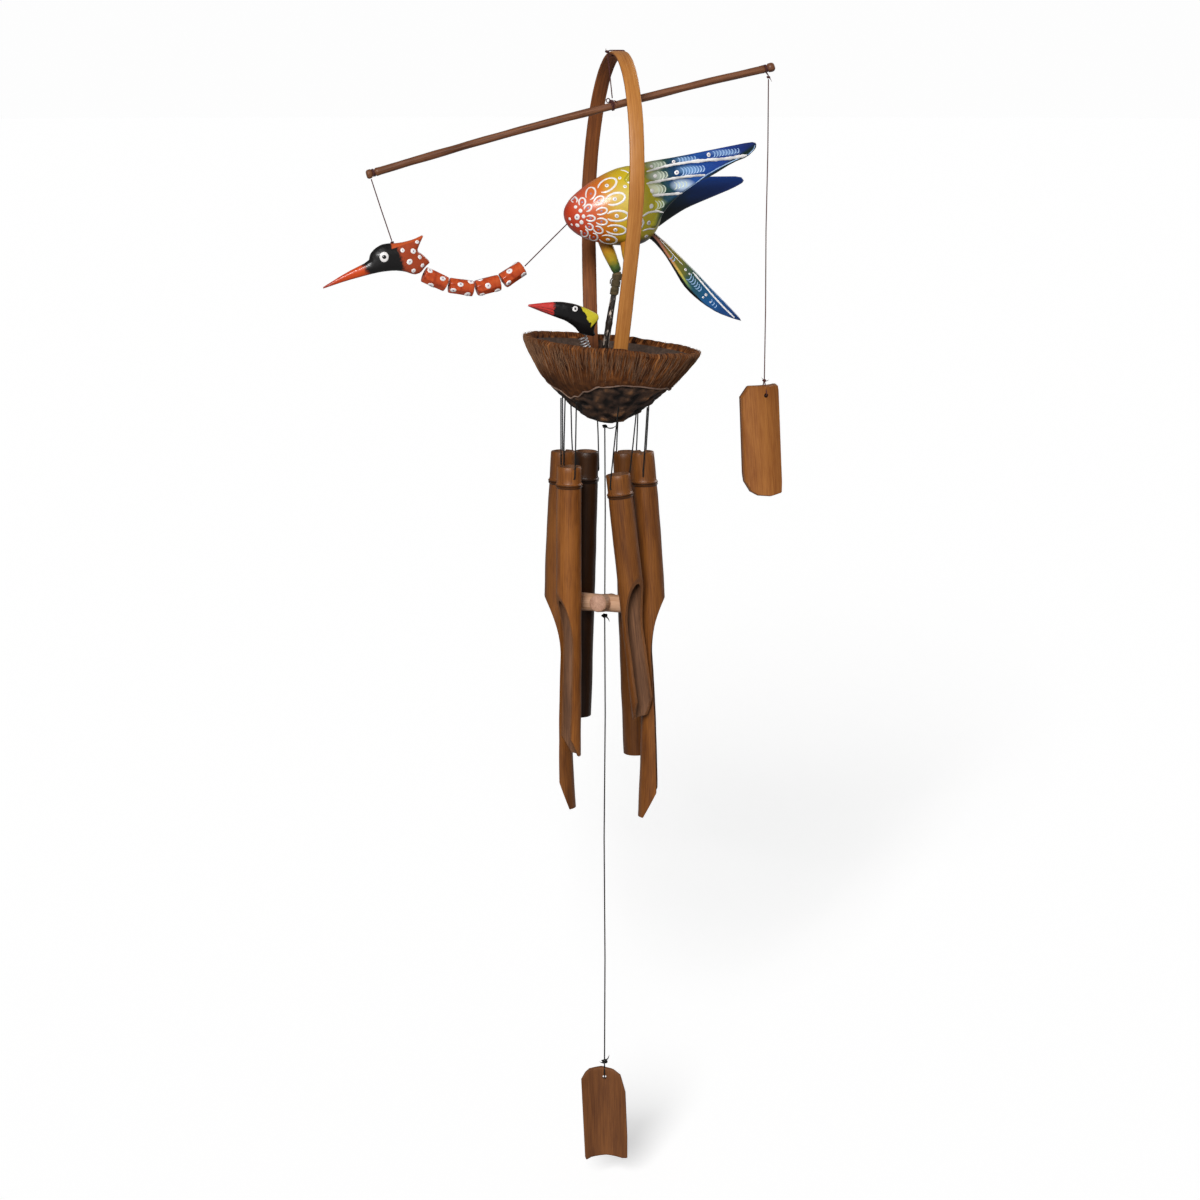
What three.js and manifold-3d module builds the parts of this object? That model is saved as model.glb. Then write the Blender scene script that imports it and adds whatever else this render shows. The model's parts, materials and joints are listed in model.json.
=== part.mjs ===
// Bamboo and coconut wind chime with a balancing bird. Millimetres, +Z up.
// The bird faces -X, the balance beam lies along X and the hoop stands in the YZ plane.
// Origin: the flat underside of the hoop's crown, where a hook carries the chime.
import * as THREE from 'three';
import { mergeVertices } from 'three/addons/utils/BufferGeometryUtils.js';
import Module from 'manifold-3d';

const wasm = await Module();
wasm.setup();

// ---------------------------------------------------------------- driving dimensions
const GAP = 0.3; // kept between pieces that touch or were cut by each other

const HOOP = { width: 11, thick: 2.6, halfSpan: 69, crownToWide: 105, endDepth: 243, endHalf: 35, lean: 2.5 };
const NEST = { x: -3, z: -212.1, tilt: 5.9, rim: 67.3, depth: 60.5, wall: 6.5 };
const BALANCE_Y = 3; // the suspended beam, head and neck hang in this plane
const BEAM = { length: 319, r: 2.8, slope: 13.9, leftX: -187.6, leftZ: -85.2, bow: 2.7 };
const TIE = { x: -2.8, z: -33 }; // where the suspension cord reaches the beam
const HEAD_CORD = { topX: -184.2, topZ: -88.4, lowX: -169.9, lowZ: -133 };
const NECK = { x: -147.5, z: -157.3, pitch: 20.6, angles: [-25.1, -9, 13, 31.5] };
const BEAD = { length: 18.2, r: 6.1, bore: 1.7, chamfer: 0.5 };
const BREAST = { x: -39.4, z: -124.2, hole: 2.4, depth: 9 };
const CORD_R = 0.55; // black chime cord
const TWINE_R = 0.45; // purple twine of the balance
const BODY = { tipX: -41, tipZ: -117, length: 75, widest: 52, r: 28.6, slope: 8.6, sideways: 0.84 };
const CENTRE = { x: -9.8, y: 0 }; // vertical line of the clapper and the sail
const ANCHOR_Z = -274.6;
const CLAPPER = { z: -411.4, r: 6.8, half: 19.5, turn: -31, tip: 10 };
const SAIL_HOLE_Z = -799;
const COUNTER = { x: 117.6, topZ: -17.2, holeZ: -255.6 };
const CHIME = { topR: 9.2, lowR: 10, bore: 7.3, node: 0.8, holeR: 1.5, strand: 10.4, hang: 1.2, cutRun: 45 };
// Each tube: top centre, the way its cut side faces, the cut's two depths from the axis, and how
// far the tube leans outward and to its side.
const CHIMES = [
  { x: -40.3, y: -11, facing: -170, top: -302.5, length: 225, node: 14.5, cut: 97, cuts: [0, 1.5], tongue: 14,
    out: 0.3, side: -0.3, bow: 0 },
  { x: -39.6, y: 10.6, facing: 163, top: -294, length: 281, node: 23, cut: 112, cuts: [-3.3, 1], tongue: 22,
    out: 0.2, side: 0, bow: 4.8 },
  { x: -16.2, y: 30.3, facing: 95, top: -298, length: 211, node: 22, cut: 104, cuts: [0, 1], tongue: 0,
    out: 2.4, side: 1.1, bow: 0 },
  { x: -7, y: -28.2, facing: -57, top: -307, length: 190, node: 16, cut: 79, cuts: [-1.2, 0.5], tongue: 14,
    out: 4.6, side: 4.6, bow: 0 },
  { x: 11.4, y: 20.2, facing: 30, top: -298, length: 241, node: 22, cut: 112, cuts: [0, 1], tongue: 0,
    out: 2.6, side: -0.6, bow: 0 },
  { x: 17.2, y: -7.2, facing: -19, top: -294, length: 287, node: 24, cut: 113, cuts: [-1.7, 4], tongue: 20,
    out: 1.6, side: 0, bow: 5.5 },
];

const rad = THREE.MathUtils.degToRad;
const part = new THREE.Group();

// ---------------------------------------------------------------- geometry helpers
function volumeOf(position, index) {
  const a = new THREE.Vector3();
  const b = new THREE.Vector3();
  const c = new THREE.Vector3();
  let sum = 0;
  for (let i = 0; i < index.length; i += 3) {
    a.fromBufferAttribute(position, index[i]);
    b.fromBufferAttribute(position, index[i + 1]);
    c.fromBufferAttribute(position, index[i + 2]);
    sum += a.dot(b.clone().cross(c)) / 6;
  }
  return sum;
}

// One closed skin with shared vertices, no collapsed triangles and its faces pointing out.
function closed(geometry) {
  const plain = geometry.clone();
  plain.deleteAttribute('normal');
  plain.deleteAttribute('uv');
  const merged = mergeVertices(plain, 1e-3);
  const source = merged.index.array;
  const index = [];
  for (let i = 0; i < source.length; i += 3) {
    const [a, b, c] = [source[i], source[i + 1], source[i + 2]];
    if (a !== b && b !== c && c !== a) index.push(a, b, c);
  }
  if (volumeOf(merged.attributes.position, index) < 0) index.reverse();
  merged.setIndex(index);
  return merged;
}

function solid(geometry) {
  const skin = closed(geometry);
  const vertProperties = new Float32Array(skin.attributes.position.array);
  const triVerts = new Uint32Array(skin.index.array);
  return new wasm.Manifold(new wasm.Mesh({ numProp: 3, vertProperties, triVerts }));
}

function skinOf(manifold) {
  const mesh = manifold.getMesh();
  const geometry = new THREE.BufferGeometry();
  geometry.setAttribute('position', new THREE.BufferAttribute(new Float32Array(mesh.vertProperties), 3));
  geometry.setIndex(new THREE.BufferAttribute(new Uint32Array(mesh.triVerts), 1));
  return geometry;
}

function cut(geometry, ...tools) {
  let body = solid(geometry);
  for (const tool of tools) body = body.subtract(solid(tool));
  return skinOf(body);
}

function centroidOf(geometry) {
  const position = geometry.attributes.position;
  const index = geometry.index.array;
  const sum = new THREE.Vector3();
  const [a, b, c] = [new THREE.Vector3(), new THREE.Vector3(), new THREE.Vector3()];
  for (let i = 0; i < index.length; i += 3) {
    a.fromBufferAttribute(position, index[i]);
    b.fromBufferAttribute(position, index[i + 1]);
    c.fromBufferAttribute(position, index[i + 2]);
    const volume = a.dot(b.clone().cross(c)) / 6;
    sum.addScaledVector(a.clone().add(b).add(c), volume / 4);
  }
  return sum.divideScalar(volumeOf(position, index));
}

// Turns a piece so that its centre of gravity comes straight below the hole it hangs by.
function plumb(group, hole, geometry) {
  const drop = centroidOf(geometry).sub(hole).normalize();
  group.quaternion.setFromUnitVectors(drop, new THREE.Vector3(0, 0, -1));
  group.position.copy(hole).applyQuaternion(group.quaternion).negate();
}

function add(name, geometry, material, parent = part) {
  const mesh = new THREE.Mesh(geometry, material);
  mesh.name = name;
  parent.add(mesh);
  return mesh;
}

function groupAt(x, y, z, parent = part) {
  const group = new THREE.Group();
  group.position.set(x, y, z);
  parent.add(group);
  return group;
}

function finish(color, roughness, metalness = 0) {
  return new THREE.MeshStandardMaterial({ color, roughness, metalness });
}

function vec(x, y, z) {
  return new THREE.Vector3(x, y, z);
}

function roundSection(r, sides) {
  const shape = new THREE.Shape();
  for (let i = 0; i < sides; i += 1) {
    const turn = (i / sides) * Math.PI * 2;
    if (i === 0) shape.moveTo(r * Math.cos(turn), r * Math.sin(turn));
    else shape.lineTo(r * Math.cos(turn), r * Math.sin(turn));
  }
  shape.closePath();
  return shape;
}

function sweep(shape, curve, steps) {
  return closed(new THREE.ExtrudeGeometry(shape, { steps, extrudePath: curve, bevelEnabled: false }));
}

function tube(points, r, steps, sides = 8) {
  return sweep(roundSection(r, sides), new THREE.CatmullRomCurve3(points, false, 'centripetal'), steps);
}

// A route that a sweep follows point by point, so that long straight stretches need few steps.
class Route extends THREE.Curve {
  constructor(points) {
    super();
    this.points = points;
  }

  getPoint(t) {
    const last = this.points.length - 1;
    const i = Math.min(Math.floor(t * last + 1e-6), last - 1);
    return this.points[i].clone().lerp(this.points[i + 1], t * last - i);
  }

  getPointAt(u) {
    return this.getPoint(u);
  }

  getTangentAt(u) {
    const last = this.points.length - 1;
    const i = Math.round(u * last);
    const back = this.points[Math.max(i, 1)].clone().sub(this.points[Math.max(i, 1) - 1]).normalize();
    const ahead = this.points[Math.min(i, last - 1) + 1].clone().sub(this.points[Math.min(i, last - 1)]).normalize();
    return back.add(ahead).normalize();
  }
}

function cord(points, r, sides = 8) {
  return sweep(roundSection(r, sides), new Route(points), points.length - 1);
}

// Points from one end of a straight cord to the other, a step apart.
function straight(from, to, step = 12) {
  const count = Math.max(2, Math.ceil(from.distanceTo(to) / step));
  return Array.from({ length: count + 1 }, (unused, i) => from.clone().lerp(to, i / count));
}

// Turned shape about +Z from [radius, height] pairs that start and end on the axis.
function turned(profile, sides) {
  const points = profile.map(([r, z]) => new THREE.Vector2(r, z));
  return new THREE.LatheGeometry(points, sides).rotateX(Math.PI / 2);
}

function rod(r, length, sides) {
  return turned([[0, -length / 2], [r, -length / 2], [r, length / 2], [0, length / 2]], sides);
}

function knot(r) {
  return closed(new THREE.SphereGeometry(r, 10, 7));
}

// Flat carved board in the XZ plane, one unit thick, with its edges rounded inwards.
function board(outline, round) {
  const shape = new THREE.Shape(outline.map(([x, z]) => new THREE.Vector2(x, z)));
  const options = {
    depth: 0.5, bevelEnabled: true, bevelThickness: 0.25, bevelSize: round, bevelOffset: -round,
    bevelSegments: 2, curveSegments: 4,
  };
  return closed(new THREE.ExtrudeGeometry(shape, options).translate(0, 0, -0.25).rotateX(Math.PI / 2));
}

// Gives every point of a board its thickness and sideways place from its x and z.
function carve(geometry, thickness, sideways) {
  const position = geometry.attributes.position;
  for (let i = 0; i < position.count; i += 1) {
    const [x, y, z] = [position.getX(i), position.getY(i), position.getZ(i)];
    position.setY(i, y * thickness(x, z) + sideways(x, z));
  }
  return geometry;
}

function lerpClamped(x, x0, x1, v0, v1) {
  return v0 + (v1 - v0) * THREE.MathUtils.clamp((x - x0) / (x1 - x0), 0, 1);
}

// ---------------------------------------------------------------- finishes
const bamboo = '#9a5a26';
const hoopFinish = finish('#b5702f', 0.45);
const beamFinish = finish('#6e4126', 0.5);
const chimeFinish = finish('#8a4f1f', 0.42);
const slatFinish = finish(bamboo, 0.45);
const huskFinish = finish('#6a3d20', 0.9);
const blackCord = finish('#0c0b0b', 0.85);
const twineFinish = finish('#4a262c', 0.85);

// ---------------------------------------------------------------- hoop
// A bent flat strip: half an ellipse above its widest place, then drawn in to the nest.
// One short flat stretch lies level at the crown, where the hook bears.
function hoopRoute() {
  const { halfSpan, crownToWide, endDepth, endHalf, thick } = HOOP;
  const arcStep = 3.6;
  const lowerCount = 12;
  const half = [];
  const flat = crownToWide * (1 - Math.cos(rad(arcStep / 2)));
  for (let turn = arcStep / 2; turn < 90; turn += arcStep) {
    half.push([halfSpan * Math.sin(rad(turn)), crownToWide * (1 - Math.cos(rad(turn))) - flat]);
  }
  for (let i = 0; i <= lowerCount; i += 1) {
    const share = i / lowerCount;
    half.push([halfSpan - (halfSpan - endHalf) * share ** 1.25, crownToWide + (endDepth - crownToWide) * share]);
  }
  const far = half.map(([y, depth]) => vec(0, y, thick / 2 - depth)).reverse();
  const near = half.map(([y, depth]) => vec(0, -y, thick / 2 - depth));
  return new Route([...far, ...near]);
}

function stripSection(width, thick, chamfer) {
  const [w, t, c] = [width / 2, thick / 2, chamfer];
  const corners = [[w - c, -t], [w, c - t], [w, t - c], [w - c, t], [c - w, t], [-w, t - c], [-w, c - t], [c - w, -t]];
  return new THREE.Shape(corners.map(([x, y]) => new THREE.Vector2(x, y)));
}

const hoopRun = hoopRoute();
const hoopStrip = sweep(stripSection(HOOP.width, HOOP.thick, 0.6), hoopRun, hoopRun.points.length - 1);
const hoopLean = new THREE.Matrix4().makeShear(0, 0, 0, 0, Math.tan(rad(HOOP.lean)), 0);
add('hoop', hoopStrip.applyMatrix4(hoopLean), hoopFinish);

// ---------------------------------------------------------------- coconut nest
const nest = groupAt(NEST.x, 0, NEST.z);
nest.rotation.y = rad(NEST.tilt);

const NEST_OUTER = [[0, -1], [0.09, -0.99], [0.24, -0.94], [0.39, -0.84], [0.56, -0.69], [0.77, -0.47], [0.94, -0.17]];
const NEST_INNER = [[0.9, -0.09], [0.72, -0.38], [0.52, -0.59], [0.34, -0.72], [0.16, -0.81], [0, -0.83]];

// The shell bulges less on the tail side, most of all near its bottom.
function nestGeometry() {
  const scale = ([r, z]) => [r * NEST.rim, z * NEST.depth];
  const lip = [[NEST.rim, -2.5], [NEST.rim - 1, 0], [NEST.rim - NEST.wall + 1, 0], [NEST.rim - NEST.wall, -2]];
  const geometry = closed(turned([...NEST_OUTER.map(scale), ...lip, ...NEST_INNER.map(scale)], 36));
  const position = geometry.attributes.position;
  for (let i = 0; i < position.count; i += 1) {
    const [x, z] = [position.getX(i), position.getZ(i)];
    if (x > 0) position.setX(i, x * lerpClamped(z, -36, 0, 0.88, 0.965));
  }
  return geometry;
}

const nestShell = nestGeometry();
add('coconut_nest', nestShell, huskFinish, nest);
nest.updateMatrixWorld(true);

// Height of the shell's outer underside at a place in the part's plan.
function undersideAt(x, y) {
  const down = new THREE.Raycaster(vec(x, y, NEST.z - 2 * NEST.depth), vec(0, 0, 1));
  const shell = new THREE.Mesh(nestShell);
  shell.applyMatrix4(nest.matrixWorld);
  shell.updateMatrixWorld(true);
  return down.intersectObject(shell)[0].point.z;
}

// ---------------------------------------------------------------- balance: loop, cord and beam
const crownLoop = [[-6.8, -0.2], [-6.2, -1.0], [5.8, -1.0], [6.6, -0.2], [6.6, 2.9], [5.8, 3.7], [-5.8, 3.7], [-6.6, 3.1],
  [-6.7, 0.8]];
add('crown_loop', cord(crownLoop.map(([x, z]) => vec(x, BALANCE_Y, z)), TWINE_R), twineFinish);
add('crown_knot', knot(1.5).translate(-9, BALANCE_Y, 2.4), twineFinish);
const suspension = [vec(-6.9, BALANCE_Y, -1.9), vec(-5.5, BALANCE_Y, -12), vec(TIE.x - 0.6, BALANCE_Y, TIE.z + 1.4)];
add('suspension_cord', tube(suspension, TWINE_R, 8), twineFinish);

const beamCentre = BEAM.length / 2;
const beam = groupAt(BEAM.leftX, BALANCE_Y, BEAM.leftZ);
beam.rotation.y = rad(-BEAM.slope);

function archAt(rise, share) {
  return rise * 4 * share * (1 - share);
}

function bowAt(along) {
  return archAt(BEAM.bow, along / BEAM.length);
}

function beamGeometry() {
  const { r, length } = BEAM;
  const shaft = [0.14, 0.27, 0.42, 0.58, 0.73, 0.86].map((share) => [r, length * share]);
  const profile = [
    [0, 0], [2.6, 0.2], [3.3, 1.2], [3.3, 3.4], [2.0, 4.2], [2.0, 6.2], [r + 0.2, 7], [r, 12], ...shaft,
    [r, length - 12], [r + 0.1, length - 8.6], [2.0, length - 8], [2.0, length - 5.8], [3.4, length - 5],
    [3.4, length - 1.2], [2.6, length - 0.2], [0, length],
  ];
  const geometry = closed(turned(profile, 12).rotateY(Math.PI / 2));
  const position = geometry.attributes.position;
  for (let i = 0; i < position.count; i += 1) position.setZ(i, position.getZ(i) + bowAt(position.getX(i)));
  return geometry;
}

add('balance_beam', beamGeometry(), beamFinish, beam);

function hitch(along, r, thickness = TWINE_R) {
  return closed(new THREE.TorusGeometry(r, thickness, 6, 14).rotateY(Math.PI / 2).translate(along, 0, bowAt(along)));
}

const tieAlong = (TIE.x - BEAM.leftX) / Math.cos(rad(BEAM.slope));
add('beam_tie', hitch(tieAlong, BEAM.r + 2 * GAP + 0.7, 0.7), twineFinish, beam);
add('head_hitch', hitch(5.2, 2.1 + GAP + TWINE_R), twineFinish, beam);
add('counterweight_hitch', hitch(BEAM.length - 6.9, 2.1 + GAP + TWINE_R), twineFinish, beam);

// ---------------------------------------------------------------- counterweight
// A split piece of bamboo: an arc across its width whose wall grows from one edge to the other,
// with a drilled hole near the top.
function slat({ radius, walls, width, middle, outline }) {
  const half = Math.asin(width / 2 / radius);
  const bottom = Math.min(...outline.map(([, z]) => z)) - 1;
  const steps = 10;
  const turns = Array.from({ length: steps + 1 }, (unused, i) => -half + (2 * half * i) / steps);
  const wallAt = (turn) => walls[0] + ((walls[1] - walls[0]) * (turn + half)) / (2 * half);
  const rim = turns.map((turn) => [radius * Math.sin(turn), -radius * Math.cos(turn)]);
  const inside = turns.map((turn) => {
    const r = radius - wallAt(turn);
    return [r * Math.sin(turn), -r * Math.cos(turn)];
  });
  const arc = new THREE.Shape([...rim, ...inside.reverse()].map(([x, y]) => new THREE.Vector2(x, y)));
  const options = { depth: 14 - bottom, bevelEnabled: false };
  const shell = new THREE.ExtrudeGeometry(arc, options).translate(middle, radius, bottom);
  const face = new THREE.Shape(outline.map(([x, z]) => new THREE.Vector2(x, z)));
  const reach = 2 * radius;
  const blank = new THREE.ExtrudeGeometry(face, { depth: reach, bevelEnabled: false })
    .rotateX(Math.PI / 2).translate(0, reach - 1, 0);
  const hole = rod(1.7, 6 * walls[1], 10).rotateX(Math.PI / 2);
  return skinOf(solid(shell).intersect(solid(blank)).subtract(solid(hole)));
}

const counterSlat = {
  radius: 30, walls: [6.36, 12.26], width: 34.6, middle: -4.1, knotRise: 11,
  outline: [[-18.8, 0.3], [-12.8, 8.6], [12.2, 6.9], [12.7, 2.2], [9.6, -68.5], [8.5, -77.2], [-1.8, -78.6],
    [-11.7, -76.9], [-16.7, -73.5], [-20.5, -65.4], [-20.9, -59.1]],
};
const counterweight = groupAt(COUNTER.x, BALANCE_Y, 0);
add('counterweight_knot', knot(1.2).translate(0, 0, COUNTER.topZ), twineFinish, counterweight);
const counterTop = COUNTER.topZ - 1.5;
const counterLine = straight(vec(0, 0, counterTop), vec(0, 0, COUNTER.holeZ + 11.4));
add('counterweight_cord', cord(counterLine, TWINE_R), twineFinish, counterweight);

// A cord's loop through a slat's hole, over the slat's top edge, up to the knot above it.
function slatLoop(reach, top) {
  return [vec(0, -reach, top), vec(0, -reach, 1.2), vec(0, 0.9 - reach, 0), vec(0, reach - 0.9, 0), vec(0, reach, 1.2),
    vec(0, reach, top)];
}

// The loop's two sides stand clear of the wall, which is at its middle round the hole.
function hangSlat(name, spec, x, y, holeZ, turn, r, material) {
  const spin = groupAt(x, y, holeZ);
  spin.rotation.z = rad(turn);
  const frame = groupAt(0, 0, 0, spin);
  const geometry = slat(spec);
  const { radius, walls, middle, width, knotRise } = spec;
  const wall = walls[0] + ((walls[1] - walls[0]) * (width / 2 - middle)) / width;
  const holeY = radius - Math.sqrt(radius ** 2 - middle ** 2) + wall / 2;
  plumb(frame, vec(0, holeY, 0), geometry);
  add(`${name}_slat`, geometry, slatFinish, frame);
  add(`${name}_loop`, cord(slatLoop(wall / 2 + 1.9, knotRise), r), material, spin);
}

hangSlat('counterweight', counterSlat, COUNTER.x, BALANCE_Y, COUNTER.holeZ, 0, TWINE_R, twineFinish);

// ---------------------------------------------------------------- bird head on its cord
const headTop = vec(HEAD_CORD.topX, BALANCE_Y, HEAD_CORD.topZ);
const headLow = vec(HEAD_CORD.lowX, BALANCE_Y, HEAD_CORD.lowZ);
add('head_cord', cord(straight(headTop, headLow), TWINE_R), twineFinish);
const headKnot = vec(HEAD_CORD.lowX + 0.4, BALANCE_Y, HEAD_CORD.lowZ - 1.4);
add('head_knot', knot(1.0).translate(...headKnot), twineFinish);

const HEAD_OUTLINE = [
  [-222.5, -165.8], [-187, -157.8], [-178, -155.6], [-168.5, -154.8], [-161, -155.4], [-153.6, -158], [-149.4, -156.8],
  [-143.2, -149.6], [-151, -140], [-147.8, -130.2], [-155, -132.8], [-162, -134.8], [-166.6, -135.9], [-172.4, -136],
  [-177.5, -136.6], [-182.6, -139.2], [-185.6, -142.4], [-186, -145.8],
];

function headGeometry() {
  const skull = (x, z) => {
    const length = x < -186 ? lerpClamped(x, -222, -186, 2.4, 9.5) : lerpClamped(x, -186, -178, 9.5, 12.4);
    const crest = lerpClamped(z, -142, -130, 1, 0.45);
    return length * lerpClamped(x, -160, -144, 1, 0.8) * crest;
  };
  return carve(board(HEAD_OUTLINE, 1.6), skull, () => BALANCE_Y);
}

const eyeSeat = rod(3.6, 1.2, 14).rotateX(Math.PI / 2);
const eyeSpots = [-1, 1].map((side) => eyeSeat.clone().translate(-175.8, BALANCE_Y + side * 6.3, -144.6));
add('bird_head', cut(headGeometry(), ...eyeSpots), finish('#232220', 0.35));

// ---------------------------------------------------------------- neck of four bored beads
function beadGeometry() {
  const { length, r, bore, chamfer } = BEAD;
  const end = length / 2;
  const block = turned([[0, -end], [r - chamfer, -end], [r, chamfer - end], [r, end - chamfer], [r - chamfer, end],
    [0, end]], 8);
  return cut(block.rotateZ(rad(22.5)).rotateY(Math.PI / 2), rod(bore, length + 4, 8).rotateY(Math.PI / 2));
}

const joints = [vec(NECK.x, BALANCE_Y, NECK.z)];
const beadFinish = finish('#c8431c', 0.35);
NECK.angles.forEach((angle, i) => {
  const start = joints[i];
  const step = vec(Math.cos(rad(angle)), 0, Math.sin(rad(angle))).multiplyScalar(NECK.pitch);
  joints.push(start.clone().add(step));
  const middle = start.clone().addScaledVector(step, 0.5);
  const bead = groupAt(...middle);
  bead.rotation.y = rad(-angle);
  add(`neck_bead_${i + 1}`, beadGeometry(), beadFinish, bead);
  const line = rod(TWINE_R, NECK.pitch - 2 * GAP, 8).rotateY(Math.PI / 2);
  add(`neck_cord_${i + 1}`, closed(line), twineFinish, bead);
});

const neckEnd = joints[NECK.angles.length];
const breast = vec(BREAST.x, BALANCE_Y, BREAST.z);
const neckLine = breast.clone().sub(neckEnd).normalize();
const neckStart = neckEnd.clone().addScaledVector(neckLine, 0.6);
const neckStop = breast.clone().addScaledVector(neckLine, 3.5);
add('neck_cord', cord(straight(neckStart, neckStop), TWINE_R), twineFinish);

// ---------------------------------------------------------------- bird body
// An egg with its point at the breast, flatter on top of the breast and deeper under the belly.
function bodyGeometry(grow = 0) {
  const { length, widest, r, sideways } = BODY;
  const profile = [[0, -grow]];
  const rings = 13;
  for (let i = 1; i < rings; i += 1) {
    const along = (1 - Math.cos((Math.PI * i) / rings)) / 2 * length;
    const side = along < widest ? widest : length - widest;
    const round = Math.sqrt(Math.max(0, 1 - ((along - widest) / side) ** 2));
    profile.push([r * round + grow, along + (along > widest ? grow : -grow)]);
  }
  profile.push([0, length + grow]);
  const egg = closed(turned(profile, 28).rotateY(Math.PI / 2).scale(1, sideways, 1));
  const position = egg.attributes.position;
  for (let i = 0; i < position.count; i += 1) {
    const [x, z] = [position.getX(i), position.getZ(i)];
    const above = lerpClamped(x, 12, 46, 0.83, 1);
    const below = lerpClamped(x, 20, 50, 0.98, 1.05);
    position.setZ(i, z * (z > 0 ? above : below));
  }
  return egg.rotateY(rad(-BODY.slope)).translate(BODY.tipX, 0, BODY.tipZ);
}

const breastHole = rod(BREAST.hole, 2 * BREAST.depth, 12).rotateX(Math.PI / 2);
breastHole.applyQuaternion(new THREE.Quaternion().setFromUnitVectors(vec(0, 1, 0), neckLine)).translate(...breast);

// ---------------------------------------------------------------- wings and tail
const NEAR_WING = [
  [10, -80], [17.7, -77.2], [42.2, -73.3], [72.1, -67.5], [96.1, -63], [100, -63.9], [99.7, -67.9], [93.3, -74.1],
  [82.7, -78.1], [65.5, -88.4], [57.3, -91.6], [44.6, -100], [39.4, -104.4], [33.5, -110.2], [27.5, -119],
  [24.6, -126.4], [12, -118],
];
const FAR_WING = [
  [12, -92], [40, -89], [70.2, -90.5], [79.3, -90.1], [104, -90.3], [106.4, -94.6], [97.1, -99.3], [79.5, -105.8],
  [64.6, -111.3], [56.4, -114.8], [45.8, -120.9], [34.7, -128.2], [22, -128], [12, -112],
];
const TAIL = [
  [24, -128], [30, -131], [40, -139], [51, -149.6], [63, -161], [75, -173.4], [88, -186], [100, -198.6], [92, -196.4],
  [78, -191.2], [66, -184], [56, -176], [49.5, -169], [43, -157.4], [36, -146], [28, -137],
];

const wingFinish = finish('#2e5f9e', 0.28);
const bodyClear = () => bodyGeometry(GAP);
const wingThick = (x) => lerpClamped(x, 25, 105, 7, 2.6);
const nearWing = carve(board(NEAR_WING, 0.7), wingThick, (x) => -15 - lerpClamped(x, 10, 100, 0, 9));
const farWing = carve(board(FAR_WING, 0.7), wingThick, (x) => 15 + lerpClamped(x, 10, 105, 0, 9));
const tailThick = (x) => lerpClamped(x, 30, 100, 8, 2.4);
const tail = carve(board(TAIL, 0.7), tailThick, (x, z) => 0.35 * (z + 1.03 * (x - 24) + 130));
add('near_wing', cut(nearWing, bodyClear()), wingFinish);
add('far_wing', cut(farWing, bodyClear()), wingFinish);
add('tail', cut(tail, bodyClear()), wingFinish);

// ---------------------------------------------------------------- legs
// Each leg is a carved thigh, a twine binding at the knee and a dark cane down to the nest floor.
const LEGS = [
  { name: 'far', hip: [-9.4, 7.5, -133], knee: [2, 7.5, -160.2], foot: [-14.5, 8, -257] },
  { name: 'near', hip: [4.4, -7.5, -133], knee: [9, -7.5, -160.2], foot: [-6, -8, -257] },
];
const bindingProfile = [[0, 0], [3.3, 0], [3.9, 1.4], [3.9, 4.2], [3.2, 5.4], [3.7, 6.8], [3.7, 9.8], [3, 11], [3.5, 12.4],
  [3.3, 15.2], [2.9, 16.6], [0, 16.6]];

function between(geometry, from, to) {
  const way = to.clone().sub(from);
  const turn = new THREE.Quaternion().setFromUnitVectors(vec(0, 0, 1), way.normalize());
  return geometry.applyQuaternion(turn).translate(...from);
}

const thighFinish = finish('#d99a1e', 0.35);
const bindingFinish = finish('#33402c', 0.8);
const caneFinish = finish('#2b221c', 0.55);
for (const leg of LEGS) {
  const [hip, knee, foot] = [vec(...leg.hip), vec(...leg.knee), vec(...leg.foot)];
  const thigh = hip.distanceTo(knee);
  const thighShape = turned([[0, 0], [5, 0], [4.8, thigh * 0.5], [3.6, thigh - 2.4], [0, thigh - 2.4]], 14);
  add(`${leg.name}_thigh`, cut(between(thighShape, hip, knee), bodyClear()), thighFinish);
  const shin = foot.clone().sub(knee);
  const length = shin.length();
  const bindingEnd = 16.6;
  add(`${leg.name}_knee_binding`, closed(between(turned(bindingProfile, 12), knee, foot)), bindingFinish);
  const cane = turned([[0, bindingEnd + GAP], [2.4, bindingEnd + GAP], [2.6, length * 0.6], [2.3, length], [0, length]], 10);
  add(`${leg.name}_shin`, closed(between(cane, knee, foot)), caneFinish);
}

add('bird_body', cut(bodyGeometry(), breastHole), finish('#e0701c', 0.3));

// ---------------------------------------------------------------- chick on a coil spring
const CHICK = { y: -20, topX: -32, topZ: -206, baseX: -15, baseZ: -250.5 };
const CHICK_OUTLINE = [
  [-76, -179.8], [-45, -192], [-38.2, -196.9], [-33.6, -202.6], [-22, -204.6], [-23.8, -198.8], [-18.9, -189],
  [-25.3, -185.1], [-31.4, -182.4], [-38.2, -179.9], [-47.2, -178.2], [-52.5, -178], [-60.7, -178.4],
];

function chickGeometry() {
  const width = (x, z) => lerpClamped(x, -75, -44, 2, 9.5) * lerpClamped(z, -207, -192, 0.62, 1);
  return carve(board(CHICK_OUTLINE, 1.1), width, () => CHICK.y);
}

function springPath(base, top, r, turns) {
  const axis = top.clone().sub(base);
  const length = axis.length();
  const turn = new THREE.Quaternion().setFromUnitVectors(vec(0, 0, 1), axis.normalize());
  const points = [];
  const perTurn = 10;
  for (let i = 0; i <= turns * perTurn; i += 1) {
    const a = (i / perTurn) * Math.PI * 2;
    const point = vec(r * Math.cos(a), r * Math.sin(a), (length * i) / (turns * perTurn));
    points.push(point.applyQuaternion(turn).add(base));
  }
  return points;
}

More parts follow.
